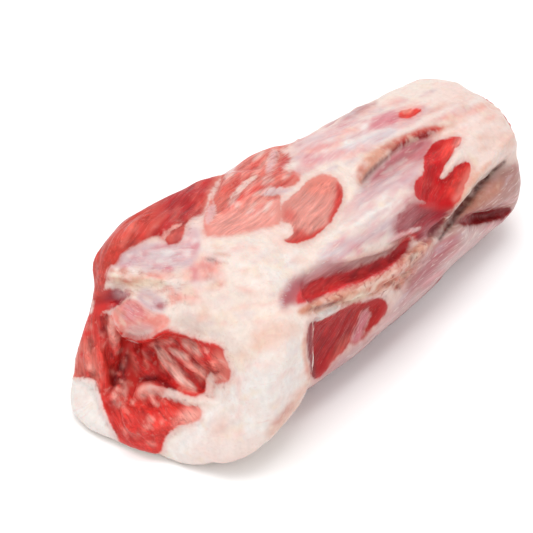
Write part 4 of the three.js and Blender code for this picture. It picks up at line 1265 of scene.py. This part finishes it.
# Which way the fibres run, from one of the photo's pixels to another, and where. Elsewhere they follow
# the body, along the shank at the same turn round it.
lies = [
    {"name": "fat blanket", "from": (200, 296), "to": (284, 276),
     "outline": [(196, 238), (250, 230), (290, 246), (306, 262), (300, 286), (286, 300), (306, 320),
                 (311, 380), (300, 402), (280, 450), (160, 470), (200, 420), (230, 380), (222, 346),
                 (160, 330), (172, 300)]},
    {"name": "left membrane", "from": (122, 262), "to": (186, 256),
     "outline": [(100, 300), (102, 268), (124, 248), (164, 242), (196, 226), (200, 246), (200, 284),
                 (172, 316), (120, 300)]},
    {"name": "hanging membrane", "from": (124, 302), "to": (162, 326),
     "outline": [(108, 314), (118, 300), (134, 294), (172, 314), (168, 330), (140, 344), (122, 338)]},
    {"name": "far ridge, left", "from": (114, 258), "to": (152, 214),
     "outline": [(80, 310), (86, 250), (120, 205), (158, 180), (160, 236), (118, 258), (106, 300)]},
    {"name": "far ridge, right", "from": (164, 226), "to": (202, 186),
     "outline": [(158, 180), (226, 156), (216, 184), (204, 214), (184, 240), (160, 240)]},
    {"name": "pink ridges", "from": (216, 210), "to": (260, 174),
     "outline": [(204, 236), (207, 205), (226, 160), (290, 126), (300, 180), (282, 198), (282, 224),
                 (232, 238)]},
    {"name": "salmon muscle", "from": (292, 238), "to": (334, 186),
     "outline": [(282, 198), (306, 180), (336, 174), (348, 194), (334, 226), (304, 246), (280, 244)]},
    {"name": "bright window", "from": (428, 200), "to": (450, 146),
     "outline": [(412, 200), (418, 160), (440, 136), (466, 134), (474, 166), (458, 202), (430, 208)]},
    {"name": "flank window", "from": (320, 368), "to": (352, 310),
     "outline": [(306, 322), (350, 302), (390, 298), (386, 320), (346, 352), (310, 382)]},
    {"name": "face hollow", "from": (160, 350), "to": (196, 388),
     "outline": [(122, 342), (160, 330), (222, 346), (234, 378), (206, 398), (160, 390), (136, 384)]},
    {"name": "left mass", "from": (104, 326), "to": (108, 392),
     "outline": [(64, 384), (78, 308), (112, 308), (124, 342), (136, 384), (112, 404)]},
    {"name": "lower mass", "from": (134, 392), "to": (164, 436),
     "outline": [(98, 392), (136, 384), (206, 400), (204, 420), (168, 440), (150, 470), (112, 440)]},
]
grainOf = {
    "fibres": {"size": 1.6 * mm, "height": 0.24, "seed": 21, "combed": True},
    "pleats": {"size": 2.2 * mm, "height": 0.16, "seed": 26, "combed": True},
    "strings": {"size": 1.5 * mm, "height": 0.26, "seed": 27, "combed": True},
    "lumps": {"size": 4.5 * mm, "height": 0.34, "seed": 24, "combed": False},
    "knobs": {"size": 2.0 * mm, "height": 0.18, "seed": 25, "combed": False},
}
fibreStretch = 0.12  # a fibre's width as a share of its length


def combed():  # each point's place along its fibre and beside it, and the number of its lie
    tree = BVHTree.FromObject(meat, bpy.context.evaluated_depsgraph_get())
    along = skinChart(points, 1).places[:, 1] * turnWidth * mm
    combedPlaces = np.stack((points[:, 0], along, np.zeros(count)), axis=1)
    region = np.zeros(count, int)
    for number, lie in enumerate(lies, 1):
        reached, depth = brushDepth(seen, lie, wobble)
        reached = reached[(depth > 0) & (seen.weight[reached] > 0.5)]
        start, end = (skinSeenAt(tree, lie[key])[0] for key in ("from", "to"))
        way = (end - start).normalized()
        side = way.orthogonal()
        axes = np.array((way, side, way.cross(side)))
        combedPlaces[reached] = points[reached] @ axes.T
        region[reached] = number
    return combedPlaces, region


def awayFromPartings(region, rings=4):  # 0 where two lies meet, 1 a few points away
    a, b = meshEdges()
    calm = np.ones(count)
    parted = np.concatenate((a[region[a] != region[b]], b[region[a] != region[b]]))
    calm[parted] = 0
    for ring in range(1, rings):
        level = ring / rings
        fromB = a[(calm[b] < level) & (calm[a] == 1)]
        fromA = b[(calm[a] < level) & (calm[b] == 1)]
        calm[np.concatenate((fromB, fromA))] = level
    return calm


fibrePlace, fibreRegion = combed()
fibreCalm = awayFromPartings(fibreRegion)


def grain(name):
    one = grainOf[name]
    if one["combed"]:
        places = fibrePlace * np.array((fibreStretch, 1, 1))
        return one["height"] * fibreCalm * cloud(places, one["size"], one["seed"])
    return one["height"] * cloud(points, one["size"], one["seed"])


bareEdge = 0.4  # millimetres on either side of the cover's edge where its relief fades


def carve():
    bare = 1 - ease(canvas["depth"], -bareEdge, bareEdge)
    fat = grain("lumps") + grain("knobs")
    cover = canvas["film"] * grain("pleats") + (1 - canvas["film"]) * fat
    strings = canvas["stringy"] * grain("strings")
    moveSkin(points, normals, canvas["rise"] + bare * grain("fibres") + (1 - bare) * cover + strings)


def hollowness(reach=8):  # above zero where the skin is a hollow, in millimetres
    places = readVectors(meat.data.vertices, "co")
    away = spreadOut(places, reach) - places
    return np.sum(away * readVectors(meat.data.vertices, "normal"), axis=1) / mm


def store(name, kind, values):
    attribute = meat.data.attributes.new(name, kind, "POINT")
    key = {"FLOAT_COLOR": "color", "FLOAT_VECTOR": "vector"}.get(kind, "value")
    attribute.data.foreach_set(key, np.asarray(values, np.float32).ravel())


carve()
opaque = np.ones((count, 1))
store("leanTone", "FLOAT_COLOR", np.hstack((canvas["lean"], opaque)))
store("coverTone", "FLOAT_COLOR", np.hstack((canvas["cover"], opaque)))
store("fibrePlace", "FLOAT_VECTOR", fibrePlace)
store("coverDepth", "FLOAT", canvas["depth"])
store("edgeSoftness", "FLOAT", canvas["soft"])
store("silverskin", "FLOAT", canvas["film"])
store("stringy", "FLOAT", canvas["stringy"])
store("fibreCalm", "FLOAT", fibreCalm)
store("hollow", "FLOAT", hollowness())
print("relief carved")


def nodeMaker(tree):
    def make(kind, **settings):
        node = tree.nodes.new(kind)
        for key, value in settings.items():
            if key == "inputs":
                for name, given in value.items():
                    socket = node.inputs[name]
                    if hasattr(given, "is_output"):
                        tree.links.new(given, socket)
                    else:
                        socket.default_value = given
            else:
                setattr(node, key, value)
        return node
    return make


# Fibres that run along the first axis of the place that they are given: broad bands, fibres and threads.
def fibreGroup():
    group = bpy.data.node_groups.new("meatFibres", "ShaderNodeTree")
    group.interface.new_socket("Place", in_out="INPUT", socket_type="NodeSocketVector")
    for name in ("Bands", "Fibres", "Threads"):
        group.interface.new_socket(name, in_out="OUTPUT", socket_type="NodeSocketFloat")
    make = nodeMaker(group)
    given = make("NodeGroupInput").outputs["Place"]
    stretched = make("ShaderNodeMapping", inputs={"Vector": given, "Scale": (fibreStretch, 1,
                                                                             1)}).outputs["Vector"]
    output = make("NodeGroupOutput")
    for name, scale, detail in (("Bands", 380, 2), ("Fibres", 950, 3), ("Threads", 2100, 2)):
        noise = make("ShaderNodeTexNoise", inputs={"Vector": stretched, "Scale": scale, "Detail": detail})
        group.links.new(noise.outputs["Fac"], output.inputs[name])
    return group


meatLook = {
    "waviness": 1.3 * mm,  # how far fibres stray from straight
    "crispJitter": 0.1,  # how ragged the cover's edge is where it is sharp, in millimetres
    "softJitter": 0.16,  # how much more, for each millimetre of its softness
    "thinFilm": 2.0,  # millimetres inside its edge where the cover is still thin
    "fibreHeight": 0.45 * mm,
    "hollowShade": 0.4,  # painted shade: how much darker hollows, and lighter swellings, are painted, for each millimetre
}
noises = {  # scale and detail of each texture
    "stray": (90, 1),
    "specks": (1500, 2),
    "crumbs": (620, 2),
    "blotch": (200, 3),
}
wetSkin = {
    "Subsurface Weight": 0.2, "Subsurface Radius": (1.0, 0.3, 0.2), "Subsurface Scale": 1.2 * mm,
    "Coat Roughness": 0.16, "Coat IOR": 1.36, "IOR": 1.38, "Specular IOR Level": 0.26,
}


def tint(name):
    return *linear(tones[name]), 1


def meatFinish():
    material = bpy.data.materials.new("wetMeat")
    material.use_nodes = True
    tree = material.node_tree
    tree.nodes.clear()
    make = nodeMaker(tree)

    def combine(operation, *values):
        return make("ShaderNodeMath", operation=operation, inputs=dict(enumerate(values))).outputs[0]

    def ramp(value, start, end, toStart=0.0, toEnd=1.0, smooth=False):
        kind = "SMOOTHSTEP" if smooth else "LINEAR"
        return make("ShaderNodeMapRange", interpolation_type=kind, inputs={
            "Value": value, "From Min": start, "From Max": end, "To Min": toStart, "To Max": toEnd,
        }).outputs["Result"]

    def blend(share, a, b):
        kind = "FLOAT" if not isinstance(b, tuple) and b.type == "VALUE" else "RGBA"
        slots = (2, 3, 0) if kind == "FLOAT" else (6, 7, 2)
        return make("ShaderNodeMix", data_type=kind, inputs={0: share, slots[0]: a,
                                                             slots[1]: b}).outputs[slots[2]]

    def shade(colour, amount):
        return make("ShaderNodeVectorMath", operation="SCALE", inputs={0: colour, "Scale": amount}).outputs[0]

    def read(name, output="Fac"):
        return make("ShaderNodeAttribute", attribute_name=name).outputs[output]

    def noise(name, where, output="Fac"):
        scale, detail = noises[name]
        made = make("ShaderNodeTexNoise", inputs={"Vector": where, "Scale": scale, "Detail": detail})
        return made.outputs[output]

    # each layer: a pattern, where it sets in and is full, how much, a tone
    def streaks(base, layers, within=None):
        for pattern, start, end, amount, tone in layers:
            share = ramp(pattern, start, end, 0.0, amount, smooth=True)
            if within is not None:
                share = combine("MULTIPLY", share, within)
            base = blend(share, base, tint(tone))
        return base

    place = make("ShaderNodeTexCoord").outputs["Object"]
    lean = read("leanTone", "Color")
    cover = read("coverTone", "Color")
    depth = read("coverDepth")
    softness = read("edgeSoftness")
    film = read("silverskin")
    stringy = read("stringy")
    hollow = ramp(read("hollow"), -0.5, 0.5, -0.5, 0.5)

    stray = noise("stray", place, "Color")
    centred = make("ShaderNodeVectorMath", operation="SUBTRACT", inputs={0: stray,
                                                                         1: (0.5, 0.5, 0.5)}).outputs[0]

    def waver(where):
        return make("ShaderNodeVectorMath", operation="MULTIPLY_ADD", inputs={
            0: centred, 1: (2 * meatLook["waviness"],) * 3, 2: where}).outputs[0]

    wavy = waver(place)
    node = make("ShaderNodeGroup", node_tree=fibreGroup())
    tree.links.new(waver(read("fibrePlace", "Vector")), node.inputs["Place"])
    calm = read("fibreCalm")
    bands, strands, threads = (blend(calm, 0.5, node.outputs[name]) for name in ("Bands", "Fibres",
                                                                                 "Threads"))
    specks = noise("specks", place)
    crumbs = noise("crumbs", place)
    blotch = noise("blotch", wavy)

    # the edge between the cover and the lean
    raggedness = combine("MULTIPLY_ADD", softness, meatLook["softJitter"], meatLook["crispJitter"])
    uneven = combine("ADD", ramp(strands, 0.3, 0.7, -1.0, 1.0), ramp(crumbs, 0.3, 0.7, -0.7, 0.7))
    edge = combine("MULTIPLY_ADD", uneven, raggedness, depth)
    covered = ramp(combine("DIVIDE", edge, softness), -0.5, 0.5, smooth=True)
    thin = ramp(edge, 0.0, meatLook["thinFilm"], 0.3, 0.0, smooth=True)

    # lean: light and dark fibres, pale threads and flecks between them
    fleshValue = combine("MULTIPLY", ramp(strands, 0.3, 0.7, 0.78, 1.2), ramp(bands, 0.3, 0.7, 0.86, 1.12))
    flesh = shade(lean, fleshValue)
    paleThread = ramp(threads, 0.58, 0.72, 0.0, 0.2, smooth=True)
    marbling = combine("MULTIPLY", paleThread, ramp(blotch, 0.4, 0.58, 0.15, 1.0))
    flecks = combine("MULTIPLY", ramp(crumbs, 0.58, 0.72, 0.0, 0.35, smooth=True), stringy)
    flesh = blend(combine("MAXIMUM", marbling, flecks), flesh, tint("facePink"))
    darkFlecks = combine("MULTIPLY", ramp(threads, 0.42, 0.3, 0.0, 0.4, smooth=True),
                         ramp(stringy, 0, 1, 0.15, 1.0))
    flesh = blend(darkFlecks, flesh, tint("facePit"))
    # painted shade and light: the lean is darker in hollows and lighter on swellings
    flesh = shade(flesh, ramp(combine("MULTIPLY", hollow, meatLook["hollowShade"]), -0.35, 0.65, 1.12, 0.62))

    # fat: mottled between pink, cream and grey
    fat = shade(cover, ramp(crumbs, 0.3, 0.7, 0.94, 1.04))
    fat = streaks(fat, (
        (blotch, 0.5, 0.68, 0.45, "creamPink"),
        (blotch, 0.46, 0.3, 0.5, "creamYellow"),
        (strands, 0.58, 0.74, 0.3, "pinkFilm"),
        (specks, 0.6, 0.74, 0.2, "peach"),
    ))

    # silverskin: long streaks of white, pink and lilac
    pearl = shade(cover, ramp(strands, 0.3, 0.7, 0.88, 1.06))
    pearl = streaks(pearl, (
        (bands, 0.52, 0.68, 0.5, "pinkFilm"),
        (bands, 0.45, 0.3, 0.5, "lilacShade"),
        (threads, 0.56, 0.7, 0.5, "cream"),
        (strands, 0.4, 0.28, 0.35, "magentaFilm"),
    ))
    coat = blend(film, fat, pearl)

    # stringy sinew: peach and brown threads
    coat = streaks(coat, (
        (strands, 0.5, 0.66, 0.5, "peach"),
        (strands, 0.47, 0.34, 0.5, "rust"),
        (crumbs, 0.4, 0.3, 0.4, "brown"),
    ), within=stringy)
    # painted shade: the cover is tinted darker rust in hollows
    coat = streaks(coat, ((hollow, 0.1, 0.6, 0.25, "rust"),))
    coat = blend(thin, coat, flesh)
    colour = blend(covered, flesh, coat)

    fleshHeight = combine("MULTIPLY_ADD", threads, 0.4, strands)
    fatHeight = combine("MULTIPLY_ADD", crumbs, 0.7, combine("MULTIPLY", specks, 0.4))
    pearlHeight = combine("MULTIPLY_ADD", threads, 0.3, combine("MULTIPLY", strands, 0.7))
    height = blend(covered, fleshHeight, blend(film, fatHeight, pearlHeight))
    height = combine("MULTIPLY_ADD", combine("MULTIPLY", strands, stringy), 1.0, height)
    height = combine("MULTIPLY_ADD", covered, 0.5, height)
    bump = make("ShaderNodeBump", inputs={
        "Strength": 0.6, "Distance": meatLook["fibreHeight"], "Height": height}).outputs["Normal"]
    fleshRough = ramp(specks, 0.3, 0.7, 0.34, 0.5)
    coverRough = blend(film, ramp(specks, 0.3, 0.7, 0.42, 0.58), ramp(specks, 0.3, 0.7, 0.32, 0.46))
    shader = make("ShaderNodeBsdfPrincipled", inputs={
        "Base Color": colour, "Roughness": blend(covered, fleshRough, coverRough), "Normal": bump,
        "Coat Weight": blend(covered, ramp(hollow, -0.2, 0.4, 0.14, 0.04), ramp(film, 0, 1, 0.1, 0.22)),
        **wetSkin,
    })
    output = make("ShaderNodeOutputMaterial")
    tree.links.new(shader.outputs[0], output.inputs["Surface"])
    return material


meat.data.materials.append(meatFinish())
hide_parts("shank")
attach(meat, "root")
print("meat finished")


tableLook = {
    "size": 4,
    "gap": 0.02 * mm,  # below the meat, so that the two faces don't flicker
    "Base Color": (0.96, 0.96, 0.96, 1),
    "Roughness": 0.6,
    "Specular IOR Level": 0.2,
}


def addTable():
    bpy.ops.object.select_all(action="DESELECT")
    bpy.ops.mesh.primitive_plane_add(size=tableLook["size"], location=(0, 0, low.z - tableLook["gap"]))
    table = bpy.context.object
    table.name = "table"
    material = bpy.data.materials.new("paleTable")
    material.use_nodes = True
    shader = material.node_tree.nodes["Principled BSDF"]
    for name in ("Base Color", "Roughness", "Specular IOR Level"):
        shader.inputs[name].default_value = tableLook[name]
    table.data.materials.append(material)


lights = {
    "key": {"place": (-0.1, 0.0, 1.3), "size": 0.9, "power": 9},
    "fill": {"place": (-1.1, -0.6, 0.7), "size": 1.2, "power": 3.5},
}
room = 0.88  # how bright the room's plain white is


def addLights():
    for name, light in lights.items():
        lamp = bpy.data.lights.new(name, "AREA")
        lamp.size = light["size"]
        lamp.energy = light["power"]
        holder = bpy.data.objects.new(name, lamp)
        bpy.context.scene.collection.objects.link(holder)
        holder.location = light["place"]
        holder.rotation_mode = "QUATERNION"
        holder.rotation_quaternion = (Vector(photoView["aim"]) - Vector(light["place"])).to_track_quat("-Z",
                                                                                                       "Y")
    world = bpy.data.worlds.new("softRoom")
    world.use_nodes = True
    background = world.node_tree.nodes["Background"]
    background.inputs["Color"].default_value = (1, 1, 1, 1)
    background.inputs["Strength"].default_value = room
    bpy.context.scene.world = world
    bpy.context.scene.view_settings.view_transform = "Standard"


addTable()
addLights()
print("table and lights set")
